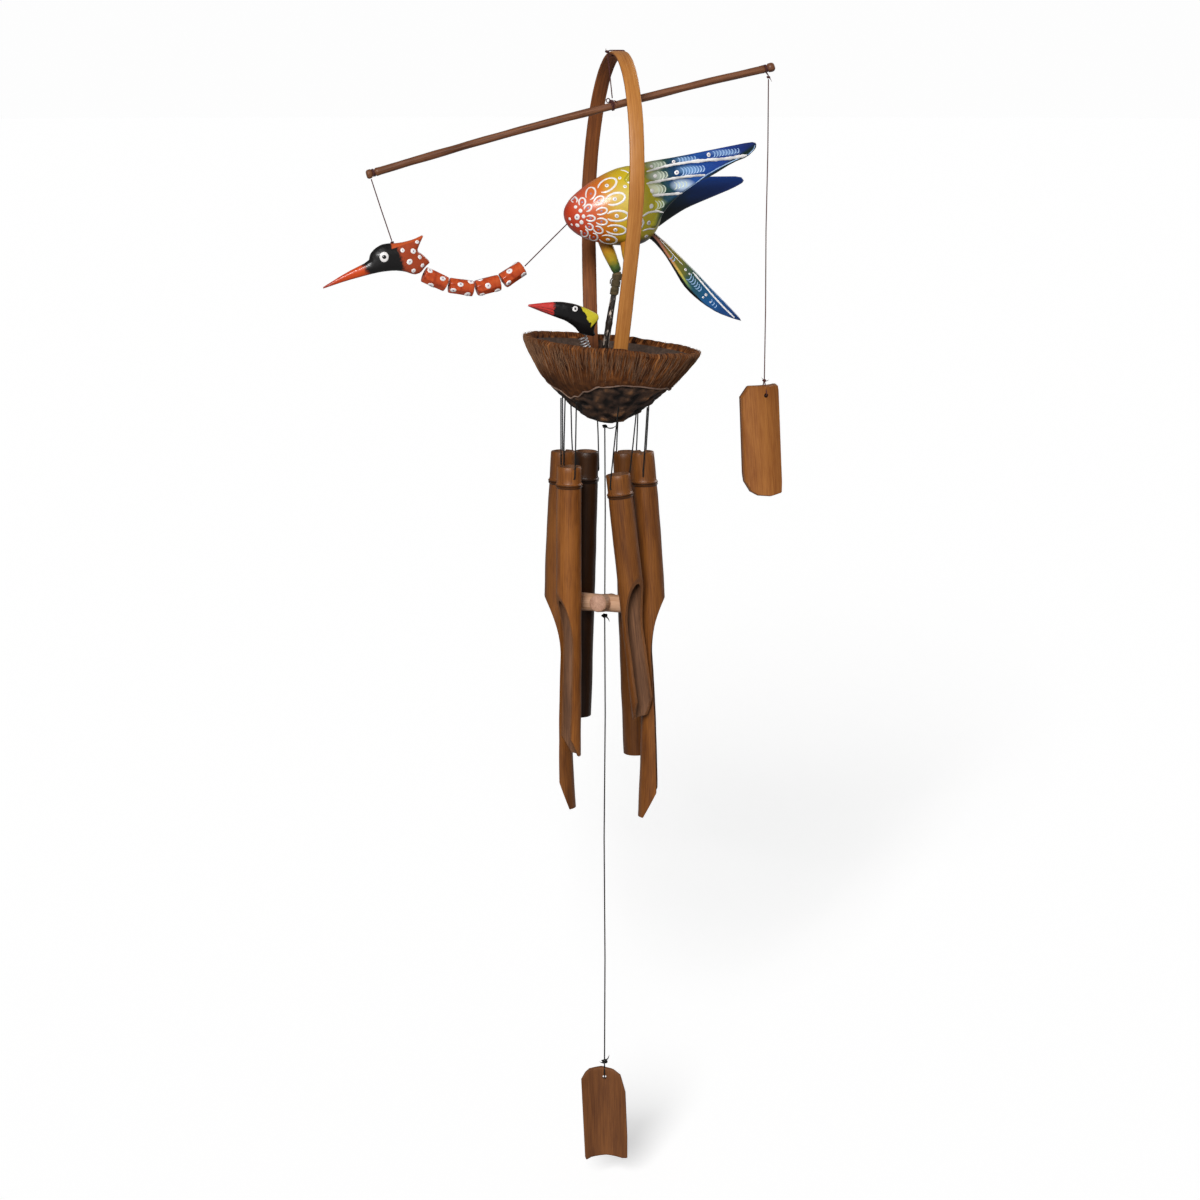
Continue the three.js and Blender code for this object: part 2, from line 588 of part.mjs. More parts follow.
const springBase = vec(CHICK.baseX, CHICK.y, CHICK.baseZ);
const springTop = vec(CHICK.topX, CHICK.y, CHICK.topZ);
add('chick_head', chickGeometry(), finish('#1d1c1c', 0.35));
add('chick_spring', tube(springPath(springBase, springTop, 2.9, 15), 0.5, 150, 5), finish('#b9bcc0', 0.3, 0.9));

// ---------------------------------------------------------------- chime tubes
// Bamboo cane with its joint near the top, cut away on the outer side into a long tongue.
function chimeGeometry({ length, node, cut: cutFrom, cuts, tongue, bow }) {
  const { topR, lowR, bore, node: bulge, holeR, cutRun } = CHIME;
  const rAt = (drop) => lerpClamped(drop, 0, 150, topR, lowR);
  const nodeR = rAt(node);
  const shaft = [0.2, 0.35, 0.5, 0.65, 0.8, 1].map((share) => [rAt(length * share), -length * share]);
  const outer = turned([[0, 0], [topR - 0.3, 0], [topR, -1], [nodeR, 1.6 - node], [nodeR + bulge, 0.9 - node],
    [nodeR + bulge, -0.9 - node], [nodeR, -1.8 - node], ...shaft, [0, -length]], 20);
  const upper = rod(topR - 2.1, node, 16).translate(0, 0, -node / 2 + 2.2);
  const boreTop = -node - 1.2;
  const borePoints = [0, 0.2, 0.4, 0.6, 0.8, 1].map((share) => [bore, boreTop - (length + boreTop) * share]);
  const lower = turned([[0, boreTop], ...borePoints, [bore, -length - 2], [0, -length - 2]], 16);
  const hole = rod(holeR, 4 * lowR, 8).rotateX(Math.PI / 2).translate(0, 0, holeLevel(node));
  const mouth = new THREE.Shape();
  mouth.moveTo(lowR + 3, -cutFrom);
  mouth.lineTo(lowR - 0.2, -cutFrom);
  mouth.quadraticCurveTo(cuts[0] + 0.8, -cutFrom - cutRun / 2, cuts[0], -cutFrom - cutRun);
  const tongueTop = length - tongue;
  for (let i = 1; i <= 6; i += 1) {
    const drop = THREE.MathUtils.lerp(cutFrom + cutRun, tongueTop, i / 6);
    mouth.lineTo(lerpClamped(drop, cutFrom + cutRun, tongueTop, cuts[0], cuts[1]), -drop);
  }
  mouth.lineTo(-lowR * 0.55, -length);
  mouth.lineTo(-lowR * 0.55, -length - 2);
  mouth.lineTo(lowR + 3, -length - 2);
  mouth.closePath();
  const cutter = new THREE.ExtrudeGeometry(mouth, { depth: 4 * lowR, bevelEnabled: false, curveSegments: 5 })
    .translate(0, 0, -2 * lowR).rotateX(Math.PI / 2);
  const bent = [outer, upper, lower, cutter].map((piece) => bend(piece, bow, length));
  return cut(...bent, hole.translate(archAt(bow, -holeLevel(node) / length), 0, 0));
}

// Bows a shape along Z out to +X, so that its level rings stay level and its flat faces stay flat.
function bend(geometry, bow, length) {
  const position = geometry.attributes.position;
  for (let i = 0; i < position.count; i += 1) {
    position.setX(i, position.getX(i) + archAt(bow, THREE.MathUtils.clamp(-position.getZ(i) / length, 0, 1)));
  }
  return geometry;
}

function holeLevel(node) {
  return 6 - node;
}

// One cord passes through both holes, and both its ends rise to the shell's underside.
CHIMES.forEach((spec, i) => {
  const rim = groupAt(spec.x, spec.y, spec.top);
  rim.rotation.z = rad(spec.facing);
  const frame = groupAt(0, 0, 0, rim);
  frame.rotation.set(rad(spec.side), rad(-spec.out), 0);
  const geometry = chimeGeometry(spec);
  const tubeMesh = add(`chime_tube_${i + 1}`, geometry, chimeFinish, frame);
  tubeMesh.updateWorldMatrix(true, false);
  const hang = rim.worldToLocal(tubeMesh.localToWorld(centroidOf(geometry))).x;
  const level = holeLevel(spec.node);
  const holeX = archAt(spec.bow, -level / spec.length);
  const atHole = (y, z) => rim.worldToLocal(tubeMesh.localToWorld(vec(holeX, y, z + level)));
  const s = CHIME.strand;
  const strand = (side) => {
    const place = rim.localToWorld(vec(hang, side * s, 0));
    const topEnd = rim.worldToLocal(vec(place.x, place.y, undersideAt(place.x, place.y) - CHIME.hang));
    return [topEnd, atHole(side * s, 0.7)];
  };
  const [nearTop, nearLow] = strand(-1);
  const [farTop, farLow] = strand(1);
  const route = [...straight(nearTop, nearLow), atHole(0.8 - s, 0), atHole(s - 0.8, 0), ...straight(farLow, farTop)];
  add(`chime_cord_${i + 1}`, cord(route, CORD_R), blackCord, rim);
});

// ---------------------------------------------------------------- clapper, centre cord and sail
const centre = groupAt(CENTRE.x, CENTRE.y, 0);
add('anchor_knot', knot(1.8).translate(0, 0, ANCHOR_Z), blackCord, centre);
const cordTop = ANCHOR_Z - 2.1;
const clapperFoot = CLAPPER.z - CLAPPER.r;
const knotZ = clapperFoot - 3.2;
const clapperLine = straight(vec(0, 0, cordTop), vec(0, 0, clapperFoot - 0.8));
add('clapper_cord', cord(clapperLine, CORD_R), blackCord, centre);
add('clapper_knot', knot(2.1).translate(0, 0, knotZ), blackCord, centre);

// Two crossed dowels, each cut away by half where they cross. The pair hangs with one end raised,
// and the cord's hole through it stands upright.
function clapperBar(side, turn) {
  const { r, half, tip } = CLAPPER;
  const bar = rod(r, 2 * half, 18).rotateY(Math.PI / 2);
  const notch = new THREE.BoxGeometry(2 * r + 2 * GAP, 4 * r, 2 * r).translate(0, 0, side * (r - GAP / 2));
  return cut(bar, notch, rod(CORD_R + 0.6, 4 * r, 8).rotateX(rad(tip)).rotateZ(rad(-turn)));
}

const dowelFinish = finish('#9c6b48', 0.6);
const cross = groupAt(0, 0, CLAPPER.z, centre);
cross.rotation.set(rad(-CLAPPER.tip), 0, rad(CLAPPER.turn), 'ZXY');
[1, -1].forEach((side, i) => {
  const bar = groupAt(0, 0, 0, cross);
  bar.rotation.z = rad(90 * i);
  add(`clapper_bar_${i + 1}`, clapperBar(side, 90 * i), dowelFinish, bar);
});

const sailSlat = {
  radius: 31, walls: [3.4, 3.4], width: 36, middle: 1, knotRise: 10.6,
  outline: [[18.6, 0.8], [15.4, 5.6], [12.2, 8], [2, 9], [-7.5, 6.5], [-13, 2.7], [-16.6, -11], [-17.3, -50],
    [-16.9, -69], [-13, -70.5], [0, -69], [12, -69.6], [16.2, -71], [17.2, -68]],
};
const sailKnotZ = SAIL_HOLE_Z + 12.8;
const sailLine = straight(vec(0, 0, knotZ - 2.5), vec(0, 0, sailKnotZ + 2.3));
add('sail_cord', cord(sailLine, CORD_R), blackCord, centre);
add('sail_knot', knot(2).translate(0, 0, sailKnotZ), blackCord, centre);
hangSlat('sail', sailSlat, CENTRE.x, CENTRE.y, SAIL_HOLE_Z, 165, CORD_R, blackCord);

export default part;
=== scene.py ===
# Bamboo and coconut wind chime with a balancing bird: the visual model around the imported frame.
# Shapes are worked out in millimetres in the frame's axes and turned into metres when a mesh is made.
import json
import math
import random

import bmesh
import bpy
from mathutils import Matrix, Vector, noise
from mathutils.bvhtree import BVHTree
from mathutils.geometry import delaunay_2d_cdt


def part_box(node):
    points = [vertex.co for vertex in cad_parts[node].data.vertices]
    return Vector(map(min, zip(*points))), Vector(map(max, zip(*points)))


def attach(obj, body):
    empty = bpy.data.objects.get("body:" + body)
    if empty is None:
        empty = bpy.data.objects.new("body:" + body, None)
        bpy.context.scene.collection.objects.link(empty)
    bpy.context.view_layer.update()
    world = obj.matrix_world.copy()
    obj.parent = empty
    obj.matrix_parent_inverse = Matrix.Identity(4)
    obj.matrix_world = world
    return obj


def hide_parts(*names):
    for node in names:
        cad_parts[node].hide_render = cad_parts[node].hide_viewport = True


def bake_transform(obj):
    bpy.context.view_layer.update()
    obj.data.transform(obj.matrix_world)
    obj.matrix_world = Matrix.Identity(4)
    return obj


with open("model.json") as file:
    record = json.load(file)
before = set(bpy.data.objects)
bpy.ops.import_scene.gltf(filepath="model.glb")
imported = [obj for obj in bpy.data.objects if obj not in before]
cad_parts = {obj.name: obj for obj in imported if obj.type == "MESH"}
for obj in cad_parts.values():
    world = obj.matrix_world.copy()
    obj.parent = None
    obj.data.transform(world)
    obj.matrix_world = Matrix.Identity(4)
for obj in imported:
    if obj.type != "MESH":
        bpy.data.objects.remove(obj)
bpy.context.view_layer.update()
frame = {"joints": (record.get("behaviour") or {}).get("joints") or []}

MM = 0.001
TAU = 2 * math.pi

# ---------------------------------------------------------------- dimensions shared with the frame, mm
BALANCE_Y = 3
CORD_D = 1.1
TWINE_D = 0.9
HOOP = dict(width=11, thick=2.6, half_span=69, crown_to_wide=105, end_depth=243, end_half=35, lean=2.5)
NEST = dict(x=-3, z=-212.1, tilt=5.9, rim=67.3, depth=60.5)
BEAM = dict(length=319, r=2.8, slope=13.9, left_x=-187.6, left_z=-85.2, bow=2.7)
TIE_X = -2.8
HEAD_CORD = ((-184.2, -88.4), (-169.9, -133))
NECK = dict(x=-147.5, z=-157.3, pitch=20.6, angles=(-25.1, -9, 13, 31.5))
BREAST = (-39.4, -124.2)
BODY = dict(tip=(-41, -117), length=75, widest=52, r=28.6, slope=8.6, sideways=0.84)
CENTRE_X = -9.8
ANCHOR_Z = -274.6
CLAPPER = dict(z=-411.4, r=6.8, half=19.5, turn=-31, tip=10)
SAIL_HOLE_Z = -799
COUNTER = dict(x=117.6, hole=-255.6)
CHIME = dict(top_r=9.2, low_r=10, bore=7.3, notch_r=1.5, strand=10.4, run=45)
# Each tube: top centre, the way its cut side faces, and its lean outward and to its side.
CHIMES = [
    dict(x=-40.3, y=-11, facing=-170, top=-302.5, length=225, node=14.5, cut=97, cuts=(0, 1.5), tongue=14,
         out=0.3, side=-0.3, bow=0),
    dict(x=-39.6, y=10.6, facing=163, top=-294, length=281, node=23, cut=112, cuts=(-3.3, 1), tongue=22,
         out=0.2, side=0, bow=4.8),
    dict(x=-16.2, y=30.3, facing=95, top=-298, length=211, node=22, cut=104, cuts=(0, 1), tongue=0,
         out=2.4, side=1.1, bow=0),
    dict(x=-7, y=-28.2, facing=-57, top=-307, length=190, node=16, cut=79, cuts=(-1.2, 0.5), tongue=14,
         out=4.6, side=4.6, bow=0),
    dict(x=11.4, y=20.2, facing=30, top=-298, length=241, node=22, cut=112, cuts=(0, 1), tongue=0,
         out=2.6, side=-0.6, bow=0),
    dict(x=17.2, y=-7.2, facing=-19, top=-294, length=287, node=24, cut=113, cuts=(-1.7, 4), tongue=20,
         out=1.6, side=0, bow=5.5),
]


# ---------------------------------------------------------------- camera, light and floor
# Each light: its name, the way to it from the object, its strength, and how wide it looks in degrees.
LIGHTS = [("key_light", (-0.46, -1, 0.56), 3.0, 20), ("fill_light", (1.0, 0.7, 0.5), 1.1, 35)]
AMBIENT = 0.17
BACKDROP = 0.985
FLOOR_Z = -0.9
FLOOR_R = 40
FLOOR_GREY = (0.4, 0.4, 0.4)
FLOOR_GLOW = 0.335


def make_camera():
    data = bpy.data.cameras.new("camera")
    data.lens = 75.696
    data.sensor_width = 36
    data.clip_end = 200
    camera = bpy.data.objects.new("camera", data)
    camera.location = (-0.4893, -1.8331, -0.0044)
    camera.rotation_euler = (math.radians(77.938), 0, math.radians(-14.55))
    bpy.context.scene.collection.objects.link(camera)
    bpy.context.scene.camera = camera


def make_light():
    """A broad soft key from beside the camera, a weak fill from behind, and a pale surround."""
    scene = bpy.context.scene
    scene.view_settings.view_transform = "Standard"
    world = bpy.data.worlds.new("studio")
    world.use_nodes = True
    tree = world.node_tree
    background = tree.nodes["Background"]
    path = tree.nodes.new("ShaderNodeLightPath")
    level = tree.nodes.new("ShaderNodeMapRange")
    level.inputs["To Min"].default_value = AMBIENT
    level.inputs["To Max"].default_value = BACKDROP
    tree.links.new(path.outputs["Is Camera Ray"], level.inputs["Value"])
    background.inputs["Color"].default_value = (1, 1, 1, 1)
    tree.links.new(level.outputs["Result"], background.inputs["Strength"])
    scene.world = world
    for name, toward, strength, spread in LIGHTS:
        data = bpy.data.lights.new(name, "SUN")
        data.energy = strength
        data.angle = math.radians(spread)
        light = bpy.data.objects.new(name, data)
        light.rotation_euler = Vector(toward).to_track_quat("Z", "Y").to_euler()
        scene.collection.objects.link(light)


def make_floor():
    """A round matt floor. It looks almost as white as the surround, but throws only a little light back."""
    turns = [TAU * i / 96 for i in range(96)]
    mesh = bpy.data.meshes.new("floor")
    mesh.from_pydata([(FLOOR_R * math.cos(a), FLOOR_R * math.sin(a), 0) for a in turns], [], [range(96)])
    floor = bpy.data.objects.new("floor", mesh)
    floor.location.z = FLOOR_Z
    bpy.context.scene.collection.objects.link(floor)
    shader = Shader("pale_floor", FLOOR_GREY, 0.8, Specular_IOR_Level=0.0)
    seen = Value(shader, shader.add("LightPath").outputs["Is Camera Ray"])
    shader.paint(shader.mix(seen, FLOOR_GREY, (0.9, 0.9, 0.9)))
    glow = shader.add("Emission", {"Color": (1, 1, 1, 1), "Strength": seen * FLOOR_GLOW})
    both = shader.add("AddShader", {0: shader.surface.outputs[0], 1: glow.outputs[0]})
    shader.tree.links.new(both.outputs[0], shader.tree.nodes["Material Output"].inputs["Surface"])
    mesh.materials.append(shader.material)


# ---------------------------------------------------------------- materials
class Value:
    """A number that nodes work out over the surface. It adds, subtracts and multiplies as numbers do."""

    def __init__(self, shader, socket):
        self.shader = shader
        self.socket = socket

    def math(self, operation, other=0.0):
        node = self.shader.add("Math", {0: self, 1: other}, operation=operation)
        return Value(self.shader, node.outputs["Value"])

    def __add__(self, other):
        return self.math("ADD", other)

    def __sub__(self, other):
        return self.math("SUBTRACT", other)

    def __mul__(self, other):
        return self.math("MULTIPLY", other)

    def __abs__(self):
        return self.math("ABSOLUTE")

    def span(self, low, high, to_low=0.0, to_high=1.0):
        """Runs from to_low to to_high as the value goes from low to high, and stays within them."""
        inputs = {"Value": self, "From Min": low, "From Max": high, "To Min": to_low, "To Max": to_high}
        return Value(self.shader, self.shader.add("MapRange", inputs).outputs["Result"])

    def within(self, low, high):
        """1 where the value is inside both edges. Each edge is where it is 0 and where it is 1."""
        return self.span(*low) * self.span(*high)

    def ramp(self, stops):
        node = self.shader.add("ValToRGB", {"Fac": self})
        elements = node.color_ramp.elements
        while len(elements) < len(stops):
            elements.new(0.5)
        for element, (position, color) in zip(elements, stops):
            element.position = position
            element.color = (*color, 1)
        return node.outputs["Color"]


class Shader:
    """A material on the Principled shader, with its nodes added by the methods below."""

    def __init__(self, name, color=(0.5, 0.5, 0.5), roughness=0.5, **sockets):
        self.material = bpy.data.materials.new(name)
        self.material.use_nodes = True
        self.tree = self.material.node_tree
        self.surface = self.tree.nodes["Principled BSDF"]
        self.surface.inputs["Base Color"].default_value = (*color, 1)
        self.surface.inputs["Roughness"].default_value = roughness
        for socket, value in sockets.items():
            self.surface.inputs[socket.replace("_", " ")].default_value = value

    def add(self, kind, inputs=None, **settings):
        node = self.tree.nodes.new("ShaderNode" + kind)
        for key, value in settings.items():
            setattr(node, key, value)
        for key, value in (inputs or {}).items():
            self.feed(node.inputs[key], value)
        return node

    def feed(self, socket, value):
        if isinstance(value, Value):
            value = value.socket
        if isinstance(value, bpy.types.NodeSocket):
            self.tree.links.new(value, socket)
        elif isinstance(value, (tuple, list)) and len(value) == 3 and len(socket.default_value) == 4:
            socket.default_value = (*value, 1)
        else:
            socket.default_value = value

    def place(self):
        """Object coordinates in millimetres."""
        coordinates = self.add("TexCoord").outputs["Object"]
        return self.stretched(coordinates, (1000, 1000, 1000))

    def grain(self, *scale):
        """The piece's own coordinates in millimetres, across, through and along its grain, times scale."""
        grain = self.add("Attribute", attribute_name="grain").outputs["Vector"]
        return self.stretched(grain, scale) if scale else grain

    def stretched(self, vector, scale):
        return self.add("Mapping", {"Vector": vector, "Scale": scale}).outputs["Vector"]

    def noise(self, vector, scale=1.0, detail=3.0, roughness=0.55, distortion=0.0):
        inputs = {"Vector": vector, "Scale": scale, "Detail": detail, "Roughness": roughness,
                  "Distortion": distortion}
        return Value(self, self.add("TexNoise", inputs).outputs["Fac"])

    def mix(self, share, a, b):
        node = self.add("Mix", data_type="RGBA")
        self.feed(node.inputs["Factor"], share)
        self.feed(node.inputs[6], a)
        self.feed(node.inputs[7], b)
        return node.outputs[2]

    def part(self, vector, axis):
        return Value(self, self.add("SeparateXYZ", {"Vector": vector}).outputs[axis])

    def paint(self, color, roughness=None):
        self.feed(self.surface.inputs["Base Color"], color)
        if roughness is not None:
            self.feed(self.surface.inputs["Roughness"], roughness)
        return self

    def bump(self, height, depth_mm, strength=1.0):
        inputs = {"Height": height, "Distance": depth_mm * MM, "Strength": strength}
        self.feed(self.surface.inputs["Normal"], self.add("Bump", inputs).outputs["Normal"])
        return self


def bamboo(name, dark, middle, light, roughness=0.42, streak=0.8, bands=()):
    """Varnished cane: long fibres, cloudy tone, pale scratches, and a dark ring at each height in bands."""
    shader = Shader(name, roughness=roughness, Specular_IOR_Level=0.3, Coat_Weight=0.12, Coat_Roughness=0.25)
    fibres = shader.noise(shader.grain(2.2, 2.2, 0.02), 1.0, 5, 0.7)
    fine = shader.noise(shader.grain(7, 7, 0.09), 1.0, 2, 0.5)
    clouds = shader.noise(shader.grain(0.09, 0.09, 0.02), 1.0, 3, 0.6)
    tone = fibres * streak + clouds * (1 - streak + 0.3) + fine.span(0.3, 0.7, -0.06, 0.06)
    color = tone.ramp([(0.36, dark), (0.56, middle), (0.78, light)])
    scratch = shader.noise(shader.grain(1.6, 1.6, 0.07), 1.0, 6, 0.8, 0.4)
    pale = tuple(min(1, 2.0 * c + 0.05) for c in light)
    color = shader.mix(scratch.span(0.65, 0.75, 0, 0.6), color, pale)
    height = shader.part(shader.grain(), "Z")
    for level, reach in bands:
        near = abs(height - level).span(reach, reach * 0.3)
        color = shader.mix(near * 0.8, color, tuple(0.16 * c for c in middle))
    rough = fibres.span(0.3, 0.7, roughness + 0.1, roughness - 0.06)
    return shader.paint(color, rough).bump(fibres + fine * 0.5, 0.25, 0.55).material


def cut_cane(name, dark, light):
    """The bare inner face of split cane, where the fibres show as fine lines."""
    shader = Shader(name, roughness=0.65, Specular_IOR_Level=0.3)
    fibres = shader.noise(shader.grain(3.2, 3.2, 0.03), 1.0, 5, 0.75)
    clouds = shader.noise(shader.grain(0.15, 0.15, 0.02))
    tone = fibres * 0.7 + clouds * 0.3
    return shader.paint(tone.ramp([(0.38, dark), (0.62, light)])).bump(fibres, 0.35, 0.7).material


def enamel(name, color, roughness=0.28):
    """A flat spot of thick paint, with a brushed surface and a little unevenness in its tone."""
    shader = Shader(name, roughness=roughness, Coat_Weight=0.4, Coat_Roughness=0.12)
    place = shader.place()
    shade = tuple(0.9 * c for c in color)
    shader.paint(shader.mix(shader.noise(place, 0.5).span(0.35, 0.65), shade, color))
    return shader.bump(shader.noise(place, 1.4), 0.08, 0.35).material


def painted(name, tint, roughness=0.26):
    """Varnished paint over carved wood. tint(shader, place) gives the colour."""
    shader = Shader(name, roughness=roughness, Specular_IOR_Level=0.25, Coat_Weight=0.25, Coat_Roughness=0.14)
    place = shader.place()
    color = tint(shader, place)
    brushed = shader.noise(shader.stretched(place, (0.5, 0.5, 2.2)), 1.0, 4, 0.6)
    wear = shader.noise(place, 0.9, 6, 0.75)
    color = shader.mix(brushed.span(0.3, 0.7, 0, 0.22), color, (0.012, 0.01, 0.01))
    color = shader.mix(wear.span(0.74, 0.82, 0, 0.5), color, (0.75, 0.62, 0.45))
    rough = brushed.span(0.3, 0.7, roughness - 0.05, roughness + 0.1)
    return shader.paint(color, rough).bump(brushed + wear * 0.6, 0.12, 0.25).material


def cord_fibre(name, dark, light):
    """Laid cord: fine hairs across it, and a slow fade along it."""
    shader = Shader(name, roughness=0.9, Specular_IOR_Level=0.2, Sheen_Weight=0.06, Sheen_Roughness=0.5)
    hairs = shader.noise(shader.grain(5, 5, 1.2), 1.0, 4, 0.8)
    fade = shader.noise(shader.grain(0.1, 0.1, 0.05), 1.0, 2)
    tone = hairs * 0.6 + fade * 0.4
    return shader.paint(tone.ramp([(0.35, dark), (0.7, light)])).bump(hairs, 0.15, 0.8).material


# ---------------------------------------------------------------- mesh helpers, all in millimetres
def placed(x, y, z, turn=None):
    """A piece's place: its origin in millimetres, and its turn."""
    where = Matrix.Translation(Vector((x, y, z)) * MM)
    return where @ turn if turn else where


def about(axis, degrees):
    return Matrix.Rotation(math.radians(degrees), 4, axis)


def make(name, vertices, faces, materials, place=None, grain=None, indices=None, sharp=40, closed=True):
    """A mesh object from points in its own frame, with the grain coordinates that its material reads."""
    mesh = bpy.data.meshes.new(name)
    mesh.from_pydata([Vector(v) * MM for v in vertices], [], faces)
    if closed:
        face_out(mesh)
    for material in materials:
        mesh.materials.append(material)
    if indices:
        mesh.polygons.foreach_set("material_index", indices)
    set_grain(mesh, grain)
    mesh.update()
    mesh.shade_smooth()
    mesh.set_sharp_from_angle(angle=math.radians(sharp))
    piece = bpy.data.objects.new(name, mesh)
    bpy.context.scene.collection.objects.link(piece)
    if place:
        piece.matrix_world = place
    return piece


def face_out(mesh):
    """Turns every face of a closed mesh outward."""
    work = bmesh.new()
    work.from_mesh(mesh)
    bmesh.ops.recalc_face_normals(work, faces=work.faces)
    work.to_mesh(mesh)
    work.free()


def set_grain(mesh, grain=None):
    values = grain or [v.co / MM for v in mesh.vertices]
    attribute = mesh.attributes.get("grain") or mesh.attributes.new("grain", "FLOAT_VECTOR", "POINT")
    attribute.data.foreach_set("vector", [c for v in values for c in v])


def fit(piece, body, slot, *nodes):
    """Puts a piece on its body, in the place of its plain solids. Its slot is not used."""
    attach(piece, body)
    if nodes:
        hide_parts(*nodes)
    return piece


def skin(rings, caps=True):
    """Faces between rings of equal length, with a fan at each end."""
    count = len(rings[0])
    vertices = [v for ring in rings for v in ring]
    faces = []
    for r in range(len(rings) - 1):
        for i in range(count):
            a, b = r * count + i, r * count + (i + 1) % count
            faces.append((a, b, b + count, a + count))
    if caps:
        for start, turn in ((0, -1), ((len(rings) - 1) * count, 1)):
            centre = sum((Vector(vertices[start + i]) for i in range(count)), Vector()) / count
            vertices.append(centre)
            last = len(vertices) - 1
            for i in range(count):
                a, b = start + i, start + (i + 1) % count
                faces.append((a, b, last) if turn > 0 else (b, a, last))
    return vertices, faces


def turned(profile, sides, rough=0.0, seed=0):
    """A turned shape about +Z from (radius, height) pairs, a little uneven if rough isn't 0."""
    rings = []
    for r, z in profile:
        ring = []
        for i in range(sides):
            a = TAU * i / sides
            way = Vector((math.cos(a), math.sin(a), 0))
            swell = rough * noise.noise(way * 1.3 + Vector((seed, 0, z * 0.05))) if rough else 0
            ring.append(way * max(r + swell, 0.001) + Vector((0, 0, z)))
        rings.append(ring)
    return skin(rings)


def refined(profile, step):
    """The same profile with points no further apart than step."""
    points = [profile[0]]
    for (r0, z0), (r1, z1) in zip(profile, profile[1:]):
        count = max(1, math.ceil(math.hypot(r1 - r0, z1 - z0) / step))
        points += [(r0 + (r1 - r0) * i / count, z0 + (z1 - z0) * i / count) for i in range(1, count + 1)]
    return points


def resampled(points, step):
    """The same line with its points about step apart."""
    points = [Vector(p) for p in points]
    line = [points[0]]
    for a, b in zip(points, points[1:]):
        count = max(1, round((b - a).length / step))
        line += [a.lerp(b, i / count) for i in range(1, count + 1)]
    return line


def eased(points, times):
    """The same line with its corners rounded."""
    line = list(points)
    for _ in range(times):
        inner = [(line[i - 1] + line[i] * 2 + line[i + 1]) / 4 for i in range(1, len(line) - 1)]
        line = [line[0], *inner, line[-1]]
    return line


def frames_on(path):
    """A steady pair of side directions at each point of a path."""
    result = []
    side = None
    for i, point in enumerate(path):
        ahead = (path[min(i + 1, len(path) - 1)] - path[max(i - 1, 0)]).normalized()
        if side is None:
            side = ahead.orthogonal().normalized()
        side = (side - ahead * side.dot(ahead)).normalized()
        result.append((point, side, ahead.cross(side)))
    return result


def strand(path, radius, sides=10, twist=0.0, lay=0.1, shrink=()):
    """A round cord along a path. twist is the length of one turn of its three strands."""
    rings, grain = [], []
    run = 0.0
    previous = path[0]
    frames = frames_on(path)
    for i, (point, u, v) in enumerate(frames):
        run += (point - previous).length
        previous = point
        taper = 1.0
        for end in shrink:
            place = i if end == 0 else len(frames) - 1 - i
            taper = min(taper, 0.25 + 0.75 * min(1, place / 6))
        ring = []
        for k in range(sides):
            a = TAU * k / sides
            r = radius * taper
            if twist:
                r *= 1 - lay + lay * abs(math.cos(1.5 * (a - TAU * run / twist)))
            ring.append(point + (u * math.cos(a) + v * math.sin(a)) * r)
            grain.append((radius * math.cos(a), radius * math.sin(a), run))
        rings.append(ring)
    vertices, faces = skin(rings)
    grain += [(0, 0, 0), (0, 0, run)]
    return vertices, faces, grain


def join(*shapes):
    """Several (vertices, faces, grain) shapes as one."""
    vertices, faces, grain = [], [], []
    for shape in shapes:
        base = len(vertices)
        vertices += shape[0]
        faces += [tuple(base + i for i in face) for face in shape[1]]
        grain += shape[2] if len(shape) > 2 else shape[0]
    return vertices, faces, grain


def knot_path(centre, size, turn=0.0):
    """Two interlaced turns of cord drawn tight, as an overhand knot looks."""
    points = []
    for i in range(49):
        t = TAU * i / 48
        r = 2 + math.cos(3 * t)
        point = Vector((r * math.cos(2 * t + turn), r * math.sin(2 * t + turn), 1.4 * math.sin(3 * t)))
        points.append(Vector(centre) + point * (size / 3))
    return points


def cord_knot(centre, size, radius, turn=0.0, tails=()):
    """A knot with loose tails, each a list of points relative to it."""
    shapes = [strand(knot_path(centre, size - radius, turn), radius, 8, 3.2)]
    for tail in tails:
        path = eased(resampled([Vector(centre) + Vector(p) for p in tail], 0.6), 4)
        shapes.append(strand(path, radius * 0.85, 8, 3.2, 0.12, shrink=(1,)))
    return join(*shapes)


def drill(radius, start, end, sides, material, place=None):
    """A round cutter along Y, from start to end. Laying it down mirrors it, so its faces are turned round."""
    vertices, faces = turned([(0, start), (radius, start), (radius, end), (0, end)], sides)
    flipped = [tuple(reversed(face)) for face in faces]
    return make("tool", [(x, z, y) for x, y, z in vertices], flipped, [material], place)


def cut_out(piece, tools):
    """Cuts tools out of a piece for good. The cut faces keep the tools' materials."""
    for tool in tools:
        modifier = piece.modifiers.new("cut", "BOOLEAN")
        modifier.operation = "DIFFERENCE"
        modifier.object = tool
        modifier.solver = "EXACT"
    bpy.context.view_layer.update()
    depsgraph = bpy.context.evaluated_depsgraph_get()
    mesh = bpy.data.meshes.new_from_object(piece.evaluated_get(depsgraph))
    piece.modifiers.clear()
    piece.data = mesh
    for tool in tools:
        bpy.data.objects.remove(tool)
    set_grain(mesh)
    mesh.shade_smooth()
    mesh.set_sharp_from_angle(angle=math.radians(35))


def clamp(x, x0, x1, v0, v1):
    """v0 up to x0, v1 from x1 on, and a straight run between them."""
    return v0 + (v1 - v0) * min(1, max(0, (x - x0) / (x1 - x0)))


